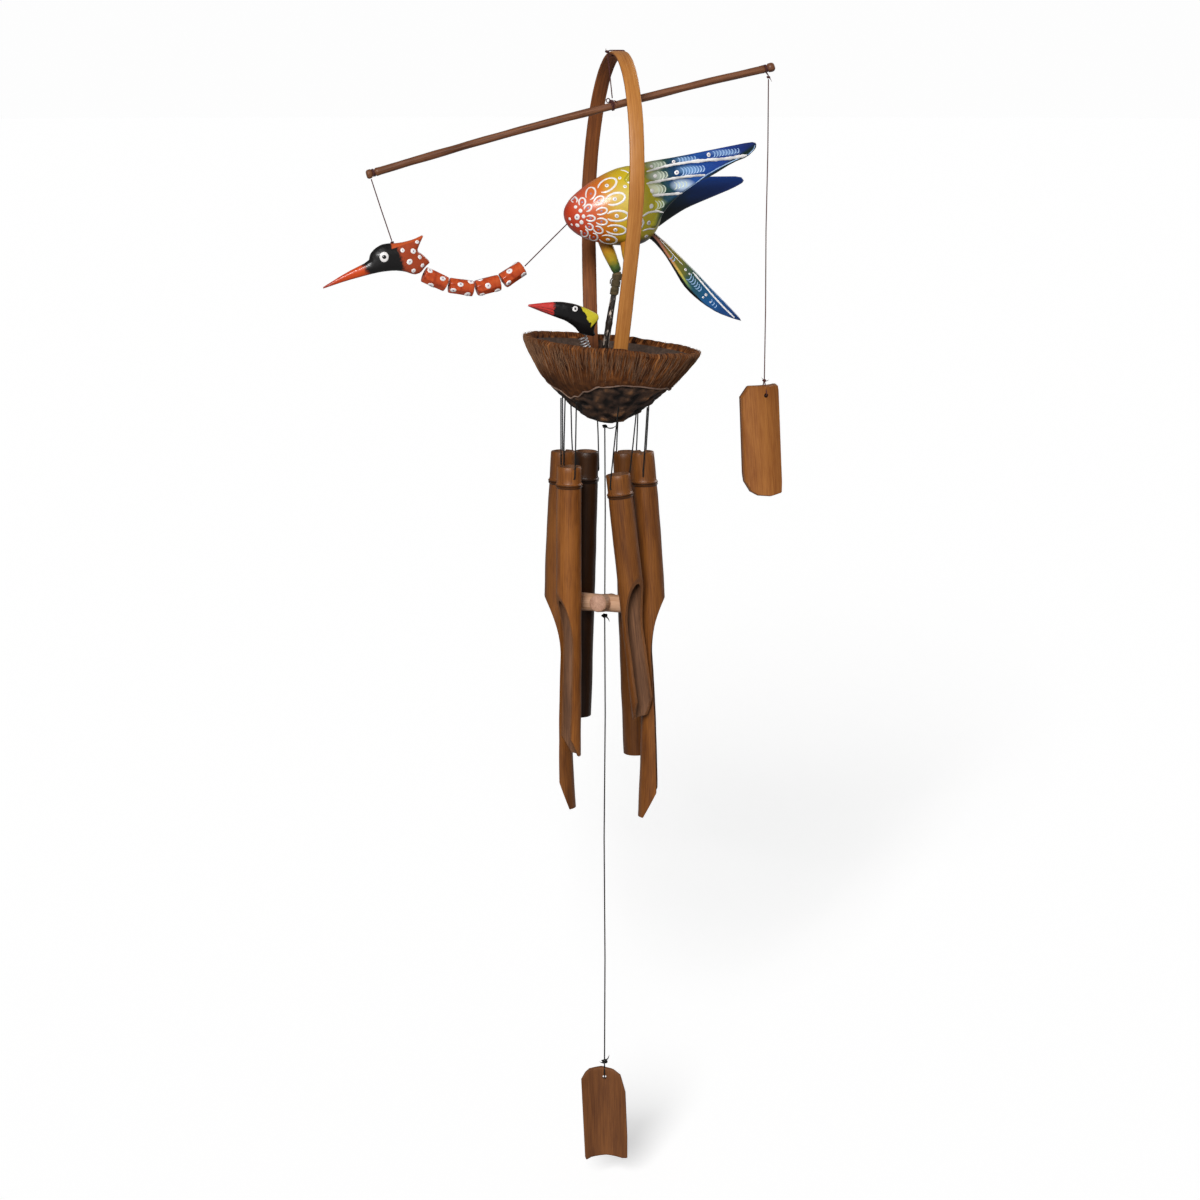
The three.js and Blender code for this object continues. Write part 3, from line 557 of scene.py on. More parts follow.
def edge_distance(x, z, edges):
    """How far a point is from the nearest of an outline's edges."""
    best = 1e9
    for (ax, az), (bx, bz) in edges:
        dx, dz = bx - ax, bz - az
        t = max(0, min(1, ((x - ax) * dx + (z - az) * dz) / (dx * dx + dz * dz)))
        best = min(best, (x - ax - t * dx) ** 2 + (z - az - t * dz) ** 2)
    return math.sqrt(best)


def inside(x, z, edges):
    """Whether an outline's edges go round a point."""
    hits = 0
    for (ax, az), (bx, bz) in edges:
        if (az > z) != (bz > z) and x < ax + (z - az) * (bx - ax) / (bz - az):
            hits += 1
    return hits % 2 == 1


def rounded(outline):
    """A closed outline with its corners cut off."""
    points = []
    for (x, z), (nx, nz) in zip(outline, outline[1:] + outline[:1]):
        points += [(x * 0.8 + nx * 0.2, z * 0.8 + nz * 0.2), (x * 0.2 + nx * 0.8, z * 0.2 + nz * 0.8)]
    return points


def panel(outline, spacing, face, round_to, soften=0):
    """A closed board over an outline in XZ. face(x, z, d) gives its two sides' y, d being the distance
    from the edge, and both meet at the edge within round_to of it. soften evens out its faces."""
    line = [(p.x, p.z) for p in resampled([(x, 0, z) for x, z in [*outline, outline[0]]], spacing * 0.7)][:-1]
    count = len(line)
    edges = list(zip(line, line[1:] + line[:1]))
    low_x, high_x = min(x for x, _ in line), max(x for x, _ in line)
    low_z, high_z = min(z for _, z in line), max(z for _, z in line)
    area = sum(ax * bz - bx * az for (ax, az), (bx, bz) in edges)
    points = [Vector(p) for p in line]
    for i, (x, z) in enumerate(line):
        (px, pz), (nx, nz) = line[i - 1], line[(i + 1) % count]
        inward = Vector((pz - nz, nx - px)).normalized() * math.copysign(1, area)
        for reach in (0.12 * round_to, 0.42 * round_to, 0.9 * round_to):
            point = Vector((x, z)) + inward * reach
            if inside(*point, edges) and edge_distance(*point, edges) > 0.9 * reach:
                points.append(point)
    for row in range(int((high_z - low_z) / (spacing * 0.87)) + 1):
        z = low_z + row * spacing * 0.87
        x = low_x + (row % 2) * spacing / 2
        while x < high_x:
            if inside(x, z, edges) and edge_distance(x, z, edges) > 0.9 * round_to + 0.5 * spacing:
                points.append(Vector((x, z)))
            x += spacing
    borders = [(i, (i + 1) % count) for i in range(count)]
    flat, _, triangles, *_ = delaunay_2d_cdt(points, borders, [], 1, 1e-4)
    depths = [edge_distance(x, z, edges) for x, z in flat]
    sides = []
    for (x, z), d in zip(flat, depths):
        y0, y1 = face(x, z, d)
        middle = (y0 + y1) / 2
        share = math.sqrt(1 - (1 - min(1, d / round_to)) ** 2)
        sides.append((middle + (y0 - middle) * share, middle + (y1 - middle) * share))
    near = [set() for _ in flat]
    for a, b, c in triangles:
        near[a] |= {b, c}
        near[b] |= {a, c}
        near[c] |= {a, b}
    for _ in range(soften):
        sides = [tuple((sides[i][k] + sum(sides[n][k] for n in near[i])) / (1 + len(near[i])) for k in (0, 1))
                 if depths[i] > 0.5 * round_to else sides[i] for i in range(len(flat))]
    vertices, front, back = [], {}, {}
    for i, (x, z) in enumerate(flat):
        if depths[i] < 1e-3:
            front[i] = back[i] = len(vertices)
            vertices.append(Vector((x, sum(sides[i]) / 2, z)))
            continue
        front[i], back[i] = len(vertices), len(vertices) + 1
        vertices += [Vector((x, y, z)) for y in sides[i]]
    faces = [tuple(front[i] for i in t) for t in triangles]
    faces += [tuple(back[i] for i in reversed(t)) for t in triangles]
    return vertices, faces


class Paint:
    """Dots and strokes of thick paint laid on a piece's surface."""

    def __init__(self, *pieces):
        vertices, faces = [], []
        for piece in pieces:
            base = len(vertices)
            vertices += [piece.matrix_world @ v.co / MM for v in piece.data.vertices]
            faces += [tuple(base + i for i in polygon.vertices) for polygon in piece.data.polygons]
        self.tree = BVHTree.FromPolygons(vertices, faces)
        self.shape = ([], [])

    def under(self, x, z, side):
        """The surface point that the side view shows at x, z, and its normal: side -1 is the near side."""
        hit, normal, *_ = self.tree.ray_cast(Vector((x, side * 300, z)), Vector((0, -side, 0)))
        return hit, normal

    def on(self, point, rise):
        place, normal, *_ = self.tree.find_nearest(point)
        return place + normal * rise

    def lay(self, rings, faces):
        base = len(self.shape[0])
        self.shape[0].extend(rings)
        self.shape[1].extend(tuple(base + i for i in face) for face in faces)

    def dot(self, hit, normal, r, rise=0.35):
        """A round spot of paint, low at its rim and a little uneven."""
        u = normal.orthogonal().normalized()
        v = normal.cross(u)
        points = []
        sides = 20
        for share, level in ((1.0, -0.12), (0.93, rise * 0.55), (0.7, rise * 0.9)):
            for k in range(sides):
                a = TAU * k / sides
                wobble = 1 + 0.07 * math.sin(2 * a + r * 7 + hit.x)
                offset = (u * math.cos(a) + v * math.sin(a)) * r * share * wobble
                points.append(self.on(hit + offset, level))
        points.append(self.on(hit, rise))
        faces = []
        for ring in range(2):
            for k in range(sides):
                a, b = ring * sides + k, ring * sides + (k + 1) % sides
                faces.append((a, b, b + sides, a + sides))
        faces += [(2 * sides + k, 2 * sides + (k + 1) % sides, 3 * sides) for k in range(sides)]
        self.lay(points, faces)

    def mark(self, x, z, r, side, rise=0.35):
        """A dot where the side view shows x, z, if the surface is there."""
        hit, normal = self.under(x, z, side)
        if hit:
            self.dot(hit, normal, r, rise)

    def stroke(self, hits, width, rise):
        """A brush stroke through surface points with their normals, thin at both ends."""
        if len(hits) < 3:
            return
        points = []
        across = (-0.5, -0.4, 0, 0.4, 0.5)
        levels = (-0.12, 0.6 * rise, rise, 0.6 * rise, -0.12)
        last = len(hits) - 1
        for i, (hit, normal) in enumerate(hits):
            ahead = (hits[min(i + 1, last)][0] - hits[max(i - 1, 0)][0]).normalized()
            side = normal.cross(ahead).normalized()
            ends = min(i, last - i)
            swell = (0.45 + 0.55 * min(1, ends / 3)) * (1 + 0.1 * math.sin(i * 1.7 + hit.z))
            points += [self.on(hit + side * width * swell * s, level) for s, level in zip(across, levels)]
        faces = []
        for i in range(last):
            for k in range(4):
                a = i * 5 + k
                faces.append((a, a + 5, a + 6, a + 1))
        faces += [(0, 1, 2, 3, 4), tuple(last * 5 + k for k in (4, 3, 2, 1, 0))]
        self.lay(points, faces)

    def line(self, points, width, side, step=1.0, rise=0.3, ease=3):
        """A stroke drawn in the side view through (x, z) points."""
        path = eased(resampled([(x, 0, z) for x, z in points], step), ease)
        run = []
        for p in path:
            hit, normal = self.under(p.x, p.z, side)
            if hit is not None:
                run.append((hit, normal))
        self.stroke(run, width, rise)

    def piece(self, name, material, body, slot):
        made = make(name, *self.shape, [material], sharp=60, closed=False)
        return fit(made, body, slot)


# ---------------------------------------------------------------- cords
def hanging_cord(name, points, diameter, body, slot, nodes, material, ease=3):
    """A cord along given points. Its twist shows as fine ridges."""
    path = eased(resampled(points, 0.7), ease)
    vertices, faces, grain = strand(path, diameter / 2, 9, 3.4, 0.14)
    piece = fit(make(name, vertices, faces, [material], grain=grain, sharp=80), body, slot, *nodes)
    length = sum((b - a).length for a, b in zip(path, path[1:]))
    metres = [tuple(p * MM) for p in path[::2]] + [tuple(path[-1] * MM)]


def tube_place(spec):
    """A chime tube's place: its top, the way it faces, and its lean."""
    lean = about("X", spec["side"]) @ about("Y", -spec["out"])
    return placed(spec["x"], spec["y"], spec["top"], about("Z", spec["facing"]) @ lean)


def arch(rise, share):
    """The height of a shallow arch at a share of its length."""
    return rise * 4 * share * (1 - share)


def make_cords(twine, black):
    """The twine of the beam, head, neck and counterweight, and the black cords from the nest down."""
    y = BALANCE_Y
    hanging_cord("suspension_cord_rope", [(-6.9, y, -0.9), (-5.5, y, -12), (-3.4, y, -31.4)], TWINE_D,
                 "suspension", "purple_twine", ["suspension_cord"], twine)
    (top_x, top_z), (low_x, low_z) = HEAD_CORD
    hanging_cord("head_cord_rope", [(top_x, y, top_z), (-177.4, y + 0.2, -110), (low_x, y, low_z)], TWINE_D,
                 "head_string", "purple_twine", ["head_cord"], twine)
    hanging_cord("neck_cord_rope", [(-70.4, y, -153.4), (-55.1, y, -138.9), (-36.9, y, -121.8)], TWINE_D,
                 "neck_end", "purple_twine", ["neck_cord"], twine)
    x = COUNTER["x"]
    drop = [(x, y, -17.8), (x + 0.3, y, -70), (x - 0.3, y, -130), (x + 0.2, y, -190), (x, y, -244.2)]
    hanging_cord("counterweight_cord_rope", drop, TWINE_D, "counterweight_string", "purple_twine",
                 ["counterweight_cord"], twine)
    x = CENTRE_X
    hanging_cord("clapper_cord_rope", [(x, 0, -275.6), (x + 0.4, 0, -340), (x, 0, -418)], CORD_D,
                 "striker_string", "black_cord", ["clapper_cord"], black)
    drop = [(x, 0, -422.4), (x + 0.5, 0.2, -500), (x - 0.4, 0, -600), (x + 0.3, -0.2, -700), (x, 0, -784.2)]
    hanging_cord("sail_cord_rope", drop, CORD_D, "sail_string", "black_cord", ["sail_cord"], black)
    pivots = {joint["name"]: joint["pos_m"] for joint in frame["joints"]}
    for i, spec in enumerate(CHIMES, 1):
        place = tube_place(spec)
        level = 6 - spec["node"]
        hole_x = arch(spec["bow"], -level / spec["length"])
        pivot = Vector(pivots[f"chime_{i}_swing"]) / MM
        facing = math.radians(spec["facing"])
        side = Vector((-math.sin(facing), math.cos(facing), 0))
        s = CHIME["strand"]
        top_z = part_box(f"chime_cord_{i}")[1][2] / MM
        ends = []
        for way in (-1, 1):
            top = Vector((pivot.x, pivot.y, top_z - 0.3)) + side * s * way
            bead = (place @ (Vector((hole_x, way * s, level + 0.7)) * MM)) / MM
            turn = (place @ (Vector((hole_x, way * (s - 0.8), level)) * MM)) / MM
            sag = top.lerp(bead, 0.55) + side * 0.35 * way
            ends.append([top, sag, bead, turn])
        points = [*ends[0], *reversed(ends[1])]
        hanging_cord(f"chime_cord_{i}_rope", points, CORD_D, f"chime_{i}", "black_cord", [f"chime_cord_{i}"],
                     black, ease=2)


# ---------------------------------------------------------------- knots, loops and hitches
def make_knots(twine, black):
    """Every knot, loop and hitch: first the purple twine's, then the black cord's."""
    y = BALANCE_Y
    x = CENTRE_X
    slope = math.radians(BEAM["slope"])
    along = Vector((math.cos(slope), 0, math.sin(slope)))
    up = Vector((-math.sin(slope), 0, math.cos(slope)))
    across = Vector((0, 1, 0))

    def tie(name, body, material, node, shape):
        slot = "purple_twine" if material is twine else "black_cord"
        vertices, faces, grain = shape
        fit(make(name, vertices, faces, [material], grain=grain, sharp=80), body, slot, node)

    def wrap(centre, r, turns, pitch):
        """Turns of twine round the beam."""
        path = []
        for i in range(int(turns * 28) + 1):
            a = TAU * i / 28
            out = across * math.cos(a) + up * math.sin(a)
            path.append(centre + along * (pitch * (a / TAU - turns / 2)) + out * r)
        return strand(path, TWINE_D / 2, 8, 3.4)

    def on_beam(distance):
        rise = arch(BEAM["bow"], distance / BEAM["length"])
        return Vector((BEAM["left_x"], y, BEAM["left_z"])) + along * distance + up * rise

    def loose_end(start, offsets, shrink=()):
        path = [start + Vector(offset) for offset in offsets]
        return strand(eased(resampled(path, 0.5), 3), 0.4, 8, 3.4, shrink=shrink)

    loop = [(-6.8, y, -0.3), (-6.1, y, -0.8), (5.4, y, -0.7), (6.2, y, -0.2), (6.2, y, 2.6), (5.4, y, 3.15),
            (-5.4, y, 3.15), (-6.3, y, 2.6), (-6.8, y, 0.4)]
    tie("crown_loop_rope", "frame", twine, "crown_loop",
        strand(eased(resampled(loop, 0.6), 2), TWINE_D / 2, 9, 3.4))
    tails = [[(0, 0, 0), (-1.2, -0.8, 0.8), (-1.4, -1.4, 2.2)]]
    tie("crown_knot_rope", "frame", twine, "crown_knot", cord_knot((-7.3, y, 2.2), 1.7, 0.5, 0.4, tails))

    middle = on_beam((TIE_X - BEAM["left_x"]) / math.cos(slope))
    bow = [(0, 0, 0), (-2.4, -1.5, 2.4), (-4.6, -2.2, 1.2), (-3.8, -2.6, -1.0), (-0.8, -1.8, -0.2)]
    wraps = [wrap(middle, BEAM["r"] + 0.5, 2.5, 1.0), cord_knot(middle + up * 3.6, 1.7, 0.5, 0.9),
             loose_end(middle + up * 3.4, bow),
             loose_end(middle + up * 3.2, [(0, 0, 0), (2.4, -2, 0.8), (4.4, -3, -1.6)], (1,))]
    tie("beam_tie_rope", "beam", twine, "beam_tie", join(*wraps))
    tie("head_hitch_rope", "beam", twine, "head_hitch", wrap(on_beam(5.2), 2.6, 2, 0.95))
    far = on_beam(BEAM["length"] - 6.9)
    wraps = [wrap(far, 2.6, 2, 0.95)]
    for way in (-1, 1):
        drop = [far + across * (2.6 * way), far + Vector((0.2, 1.2 * way, -2.6)), (COUNTER["x"], y, -15.2)]
        wraps.append(strand(resampled(drop, 0.6), 0.42, 8, 3.4))
    tie("counterweight_hitch_rope", "beam", twine, "counterweight_hitch", join(*wraps))
    tie("head_knot_rope", "head_tie", twine, "head_knot", cord_knot((-169.6, y, -134.2), 1.5, 0.45, 1.3))
    tails = [[(0, 0, 0), (1.6, -0.6, -1.2), (2.2, -0.8, -3.4)]]
    tie("counterweight_knot_rope", "counterweight_string", twine, "counterweight_knot",
        cord_knot((COUNTER["x"], y, -16.4), 1.6, 0.45, 0.2, tails))
    tie("counterweight_loop_rope", "counterweight_ring", twine, "counterweight_loop",
        slat_loop((COUNTER["x"], y, COUNTER["hole"]), 6.1, 11, 0, TWINE_D / 2))
    tails = [[(0, 0, 0), (1.6, -1, -0.6), (3.2, -1.4, 0.8)], [(0, 0, 0), (-1.4, -1, 1.2), (-2.8, -1.2, 2.6)]]
    vertices, faces, _ = cord_knot((COUNTER["x"], y, COUNTER["hole"] + 11.2), 1.7, 0.45, 0.6, tails)
    knot = make("counterweight_lower_knot", vertices, faces, [twine], sharp=80)
    fit(knot, "counterweight_ring", "purple_twine")

    tails = [[(0, 0, 0), (3, -1.5, -1.6), (6, -2.6, -1.2), (8.4, -3, 0.8)]]
    tie("anchor_knot_rope", "anchor", black, "anchor_knot",
        cord_knot((x, 0, ANCHOR_Z - 0.2), 2.2, 0.55, 0.2, tails))
    tails = [[(0, 0, 0), (2.5, -1, -2), (3.5, -1.4, -4.6)]]
    tie("clapper_knot_rope", "sail_knuckle", black, "clapper_knot",
        cord_knot((x, 0, -421.6), 2.7, 0.6, 0.8, tails))
    tails = [[(0, 0, 0), (2.4, -1.2, 2.4), (3.6, -1.6, 5.6)],
             [(0, 0, 0), (-2.6, -1, -0.8), (-4.4, -1.4, 0.8)]]
    tie("sail_knot_rope", "sail_string", black, "sail_knot", cord_knot((x, 0, -786.2), 2.7, 0.6, 0.3, tails))
    tie("sail_loop_rope", "sail", black, "sail_loop",
        slat_loop((x, 0, SAIL_HOLE_Z), 3.6, 10.6, 165, CORD_D / 2))


def slat_loop(centre, reach, top, turn, radius):
    """A loop of cord through a slat's hole and round its end, up to its knot."""
    points = [(0, -0.5, top), (0, -reach * 0.8, 4), (0, -reach, 1.2), (0, -reach + 0.9, 0),
              (0, reach - 0.9, 0), (0, reach, 1.2), (0, reach * 0.8, 4), (0, 0.5, top)]
    spin = about("Z", turn)
    path = [spin @ Vector(p) + Vector(centre) for p in points]
    return strand(eased(resampled(path, 0.5), 4), radius, 9, 3.4)


# ---------------------------------------------------------------- hoop and beam
def make_hoop(outer, inner):
    """A bent strip of split cane with softened edges, and its skin side out."""
    half = []
    for i in range(1, 61):
        a = math.radians(90 * i / 60)
        half.append((HOOP["half_span"] * math.sin(a), HOOP["crown_to_wide"] * (1 - math.cos(a))))
    for i in range(1, 61):
        share = i / 60
        depth = HOOP["crown_to_wide"] + (HOOP["end_depth"] - HOOP["crown_to_wide"]) * share
        half.append((HOOP["half_span"] - (HOOP["half_span"] - HOOP["end_half"]) * share ** 1.25, depth))
    run = [(-y, -d) for y, d in reversed(half)] + [(0, 0)] + [(y, -d) for y, d in half]
    lean = math.tan(math.radians(HOOP["lean"]))
    w, t = HOOP["width"] / 2, HOOP["thick"] / 2
    section = [(-w + 0.9, -t), (w - 0.9, -t), (w - 0.25, -t + 0.25), (w, -t + 0.9), (w, t - 0.9),
               (w - 0.3, t - 0.25), (w - 1, t), (w / 3, t + 0.22), (-w / 3, t + 0.22), (-w + 1, t),
               (-w + 0.3, t - 0.25), (-w, t - 0.9), (-w, -t + 0.9), (-w + 0.25, -t + 0.25)]
    rings, grain = [], []
    travel = 0.0
    for i, (y, z) in enumerate(run):
        y0, z0 = run[max(i - 1, 0)]
        y1, z1 = run[min(i + 1, len(run) - 1)]
        ahead = Vector((0, y1 - y0, z1 - z0)).normalized()
        out = Vector((0, -ahead.z, ahead.y))
        travel += math.hypot(y - y0, z - z0)
        swell = 1 + 0.035 * noise.noise(Vector((travel * 0.03, 2, 0)))
        ring = []
        for u, v in section:
            chip = 0.12 * noise.noise(Vector((travel * 0.25, u * 2, 9)))
            ring.append(Vector((u * swell + chip + lean * z, y, z + t)) + out * v)
            grain.append((u + 0.4, v + 7, travel))
        rings.append(ring)
    vertices, faces = skin(rings)
    grain += [(0, 0, 0), (0, 0, travel)]
    count = len(section)
    indices = []
    for face in faces:
        spots = [i % count for i in face if i < len(rings) * count]
        indices.append(0 if all(5 <= s <= 11 for s in spots) else 1)
    piece = make("hoop_strip", vertices, faces, [outer, inner], grain=grain, indices=indices, sharp=50)
    return fit(piece, "frame", "hoop_bamboo", "hoop")


def make_beam(material):
    """A straight stick, a little bowed, with a turned knob at each end."""
    r, length = BEAM["r"], BEAM["length"]
    profile = [(0, 0), (2.4, 0.1), (3.1, 0.8), (3.35, 1.6), (3.3, 3.2), (2.7, 4.0), (2.05, 4.4), (2.0, 6.0),
               (2.4, 6.7), (r + 0.25, 7.4), (r, 11), (r, length - 12), (r + 0.2, length - 8.7),
               (2.3, length - 8), (2.0, length - 7.4), (2.0, length - 6), (2.6, length - 5.3),
               (3.3, length - 4.6), (3.45, length - 2), (3.1, length - 0.9), (2.3, length - 0.15),
               (0, length)]
    vertices, faces = turned(refined(profile, 2.5), 26, 0.35, 4)
    bent, grain = [], []
    for v in vertices:
        share = min(1, max(0, v.z / length))
        sway = (0.5 if 0.1 < share < 0.9 else 0.15) * noise.noise(Vector((v.z * 0.012, 3, 0)))
        bent.append(Vector((v.z, v.y + sway, -v.x + arch(BEAM["bow"], share))))
        grain.append((v.x, v.y, v.z))
    place = placed(BEAM["left_x"], BALANCE_Y, BEAM["left_z"], about("Y", -BEAM["slope"]))
    piece = make("beam_rod", bent, faces, [material], place, grain, sharp=55)
    return fit(piece, "beam", "beam_stick", "balance_beam")


# ---------------------------------------------------------------- coconut nest
NEST_OUTER = [(0.001, -1), (0.09, -0.99), (0.24, -0.94), (0.39, -0.84), (0.56, -0.69), (0.77, -0.47),
              (0.94, -0.17), (1.0, -0.04)]
NEST_INNER = [(0.9, -0.09), (0.72, -0.38), (0.52, -0.59), (0.34, -0.72), (0.16, -0.81), (0.001, -0.83)]
HUSK_STRANDS = 190
# Each knob or pit of the bare shell: its middle, its reach and its height.
SHELL_LUMPS = [(2, -27, 6.5, 3.4), (-6, -14, 7, 2.6), (9, -13, 6, 2.2), (-26, -24, 4, -2.4),
               (21, -25, 4.5, -2.4), (-14, -30, 5, 1.4), (-2, 18, 8, 2.2), (14, 14, 6, 2)]
# How low the husk reaches on the shell, by degrees round it.
HUSK_EDGE = [(0, -31), (60, -29), (120, -27), (170, -33), (196, -37), (208, -42), (220, -39), (234, -34),
             (248, -29), (266, -26), (284, -26), (310, -27.5), (335, -29.5), (360, -31)]


def nest_place():
    return placed(NEST["x"], 0, NEST["z"], about("Y", NEST["tilt"]))


def nest_point(r, a, z):
    """A point of the nest in its own frame: it bulges less on the tail side."""
    x, y = r * math.cos(a), r * math.sin(a)
    if x > 0:
        x *= clamp(z, -36, 0, 0.88, 0.965)
    return Vector((x, y, z))


def husk_edge(a):
    """The height at which the husk ends and the bare shell starts."""
    degrees = math.degrees(a) % 360
    wave = 0.9 * noise.noise(Vector((math.cos(a) * 5, math.sin(a) * 5, 5)))
    for (a0, z0), (a1, z1) in zip(HUSK_EDGE, HUSK_EDGE[1:]):
        if degrees <= a1:
            share = (degrees - a0) / (a1 - a0)
            return z0 + (z1 - z0) * share * share * (3 - 2 * share) + wave


def husk_strand(a, z):
    """The combed strands' height at a point of the husk: 1 on a crest, and 0 in a gap."""
    way = Vector((math.cos(a), math.sin(a), 0))
    sway = 1.5 * noise.noise(way * 3 + Vector((0, 0, z * 0.03)))
    sway += 0.7 * noise.noise(way * 11 + Vector((0, 0, z * 0.12)))
    turn = a / TAU * HUSK_STRANDS + sway
    number = math.floor(turn)
    tall = 0.62 + 0.75 * noise.noise(Vector((number % HUSK_STRANDS * 0.73, z * 0.05, 8)))
    return math.sin(math.pi * (turn - number)) ** 0.7 * tall


def outer_radius(z):
    """The nest's outer radius at a height."""
    profile = [(r * NEST["rim"], h * NEST["depth"]) for r, h in NEST_OUTER]
    for (r0, z0), (r1, z1) in zip(profile, profile[1:]):
        if z <= z1:
            return r0 + (r1 - r0) * (z - z0) / (z1 - z0)
    return profile[-1][0]


def make_nest(husk, shell, lining, fibre, pale):
    """Half a nut: ridged husk outside, a ragged lip, a smooth lining, and bare shell at the bottom."""
    rim, depth = NEST["rim"], NEST["depth"]
    outer = refined([(r * rim, z * depth) for r, z in NEST_OUTER], 1.6)
    lip = [(rim - 0.6, -1.0), (rim - 1.6, 0.2), (rim - 3.4, 0.7), (rim - 5.0, 0.1), (rim - 6.2, -1.6)]
    inner = refined([lip[-1], *[(r * rim, z * depth) for r, z in NEST_INNER]], 2.4)[1:]
    sides = 600
    rings, kinds, grain = [], [], []
    for place, profile in ((0, outer), (1, lip), (2, inner)):
        for r, z in profile:
            ring = []
            for i in range(sides):
                a = TAU * i / sides
                way = Vector((math.cos(a), math.sin(a), 0))
                at = way * r
                lumps = noise.noise(Vector((at.x, at.y, z)) * 0.055 + Vector((3, 1, 7)))
                rough = noise.noise(Vector((at.x, at.y, z)) * 0.3)
                edge = husk_edge(a)
                relief = 0.5 + rough
                if place == 0 and z > edge:
                    reach = clamp(z, edge * 0.85, edge * 0.5, 0.18, 1)
                    relief = husk_strand(a, z) * reach + (1 - reach) * (0.45 + 0.7 * rough)
                    grow = 0.9 * lumps + 1.2 * relief - 0.2
                elif place == 0:
                    pit = noise.noise(Vector((at.x, at.y, z * 1.3)) * 0.14 + Vector((5, 5, 5)))
                    lump = shell_lump(at.x, at.y)
                    relief = 0.5 + 0.8 * pit + 0.35 * rough + 0.2 * lump
                    grow = 2.2 * pit + 0.9 * rough - 1.3 * clamp(z, edge - 4, edge, 0.4, 1) + lump
                elif place == 1:
                    grow = 0.8 * lumps + 0.8 * rough + 0.8 * husk_strand(a, z)
                    relief = husk_strand(a, z)
                else:
                    grow = -0.5 * abs(rough) + 0.4 * lumps
                rise = 1.5 * noise.noise(way * 2.4) + 0.7 * noise.noise(way * 9) if z > -4 else 0
                ring.append(nest_point(r + grow, a, z + rise * clamp(z, -4, 0, 0, 1)))
                grain.append((i * TAU / sides * 60, relief, z))
            rings.append(ring)
            kinds.append(place)
    vertices, faces = skin(rings, caps=False)
    indices = []
    for face in faces:
        ring = face[0] // sides
        a = TAU * (face[0] % sides) / sides
        z = vertices[face[0]].z
        if kinds[ring] == 0:
            indices.append(0 if z > husk_edge(a) else 1)
        else:
            indices.append(0 if kinds[ring] == 1 else 2)
    piece = make("nest_shell", vertices, faces, [husk, shell, lining], nest_place(), grain, indices, 60)
    fit(piece, "frame", "coconut_husk", "coconut_nest")
    seam = []
    for i in range(361):
        a = TAU * i / 360
        z = husk_edge(a)
        seam.append(nest_point(outer_radius(z) + 0.35 + 0.5 * noise.noise(Vector((i * 0.3, 0, 0))), a, z))
    vertices, faces, tone = strand(seam, 0.62, 7)
    fit(make("husk_seam", vertices, faces, [pale], nest_place(), tone, sharp=80), "frame", "coconut_husk")
    make_fibres(fibre)


def shell_lump(x, y):
    """The stub of the stalk and the worn knobs at the bottom of the nut."""
    total = 0.0
    for cx, cy, reach, height in SHELL_LUMPS:
        d = math.hypot(x - cx, y - cy) / reach
        if d < 1:
            total += height * (1 - d * d) ** 2
    return total


def make_fibres(material):
    """Coir strands combed down over the husk, with a ragged fringe at the rim."""
    random.seed(11)
    shapes = []
    for i in range(1050):
        a = TAU * random.random()
        top = random.uniform(-9, 1.0) if i % 3 else random.uniform(0, 1.2)
        bottom = max(husk_edge(a) + random.uniform(-1, 4), top - random.uniform(7, 24))
        drift = random.gauss(0, 0.035)
        lift = random.uniform(0.35, 1.15)
        tone = random.random() * 200
        steps = 9
        path = []
        for s in range(steps + 1):
            share = s / steps
            z = top + (bottom - top) * share
            sway = 0.02 * noise.noise(Vector((tone, z * 0.12, 0)))
            bulge = lift + 0.5 * noise.noise(Vector((tone, z * 0.2, 3)))
            path.append(nest_point(outer_radius(z) + bulge, a + drift * share + sway, z))
        vertices, faces, grain = strand(path, random.uniform(0.17, 0.34), 4, shrink=(0, 1))
        shapes.append((vertices, faces, [(tone, g[1], g[2]) for g in grain]))
    for i in range(420):
        a = TAU * random.random()
        r = NEST["rim"] - random.uniform(-0.6, 4.5)
        start = nest_point(r, a, random.uniform(-0.6, 0.4))
        way = Vector((math.cos(a) * random.uniform(-0.2, 1), math.sin(a) * random.uniform(-0.2, 1), 0))
        way.z = random.uniform(0, 0.9)
        side = Vector((-math.sin(a), math.cos(a), 0)) * random.gauss(0, 0.7)
        reach = random.uniform(1.2, 3.4)
        path = [start + (way + side) * reach * share - Vector((0, 0, reach * share * share * 0.7))
                for share in (0, 0.25, 0.5, 0.75, 1)]
        tone = random.random() * 200
        vertices, faces, grain = strand(path, random.uniform(0.14, 0.26), 3, shrink=(1,))
        shapes.append((vertices, faces, [(tone, g[1], g[2]) for g in grain]))
    vertices, faces, grain = join(*shapes)
    fibres = make("husk_fibres", vertices, faces, [material], nest_place(), grain, sharp=80)
    fit(fibres, "frame", "coconut_husk")


# ---------------------------------------------------------------- bird body, wings and tail
def body_point(turn, along, r):
    """A point of the body in its own frame, narrower than it is high, with its tip pinched from above."""
    y = r * math.sin(turn) * BODY["sideways"]
    z = r * math.cos(turn)
    z *= clamp(along, 12, 46, 0.83, 1) if z > 0 else clamp(along, 20, 50, 0.98, 1.05)
    return Vector((along, y, z))


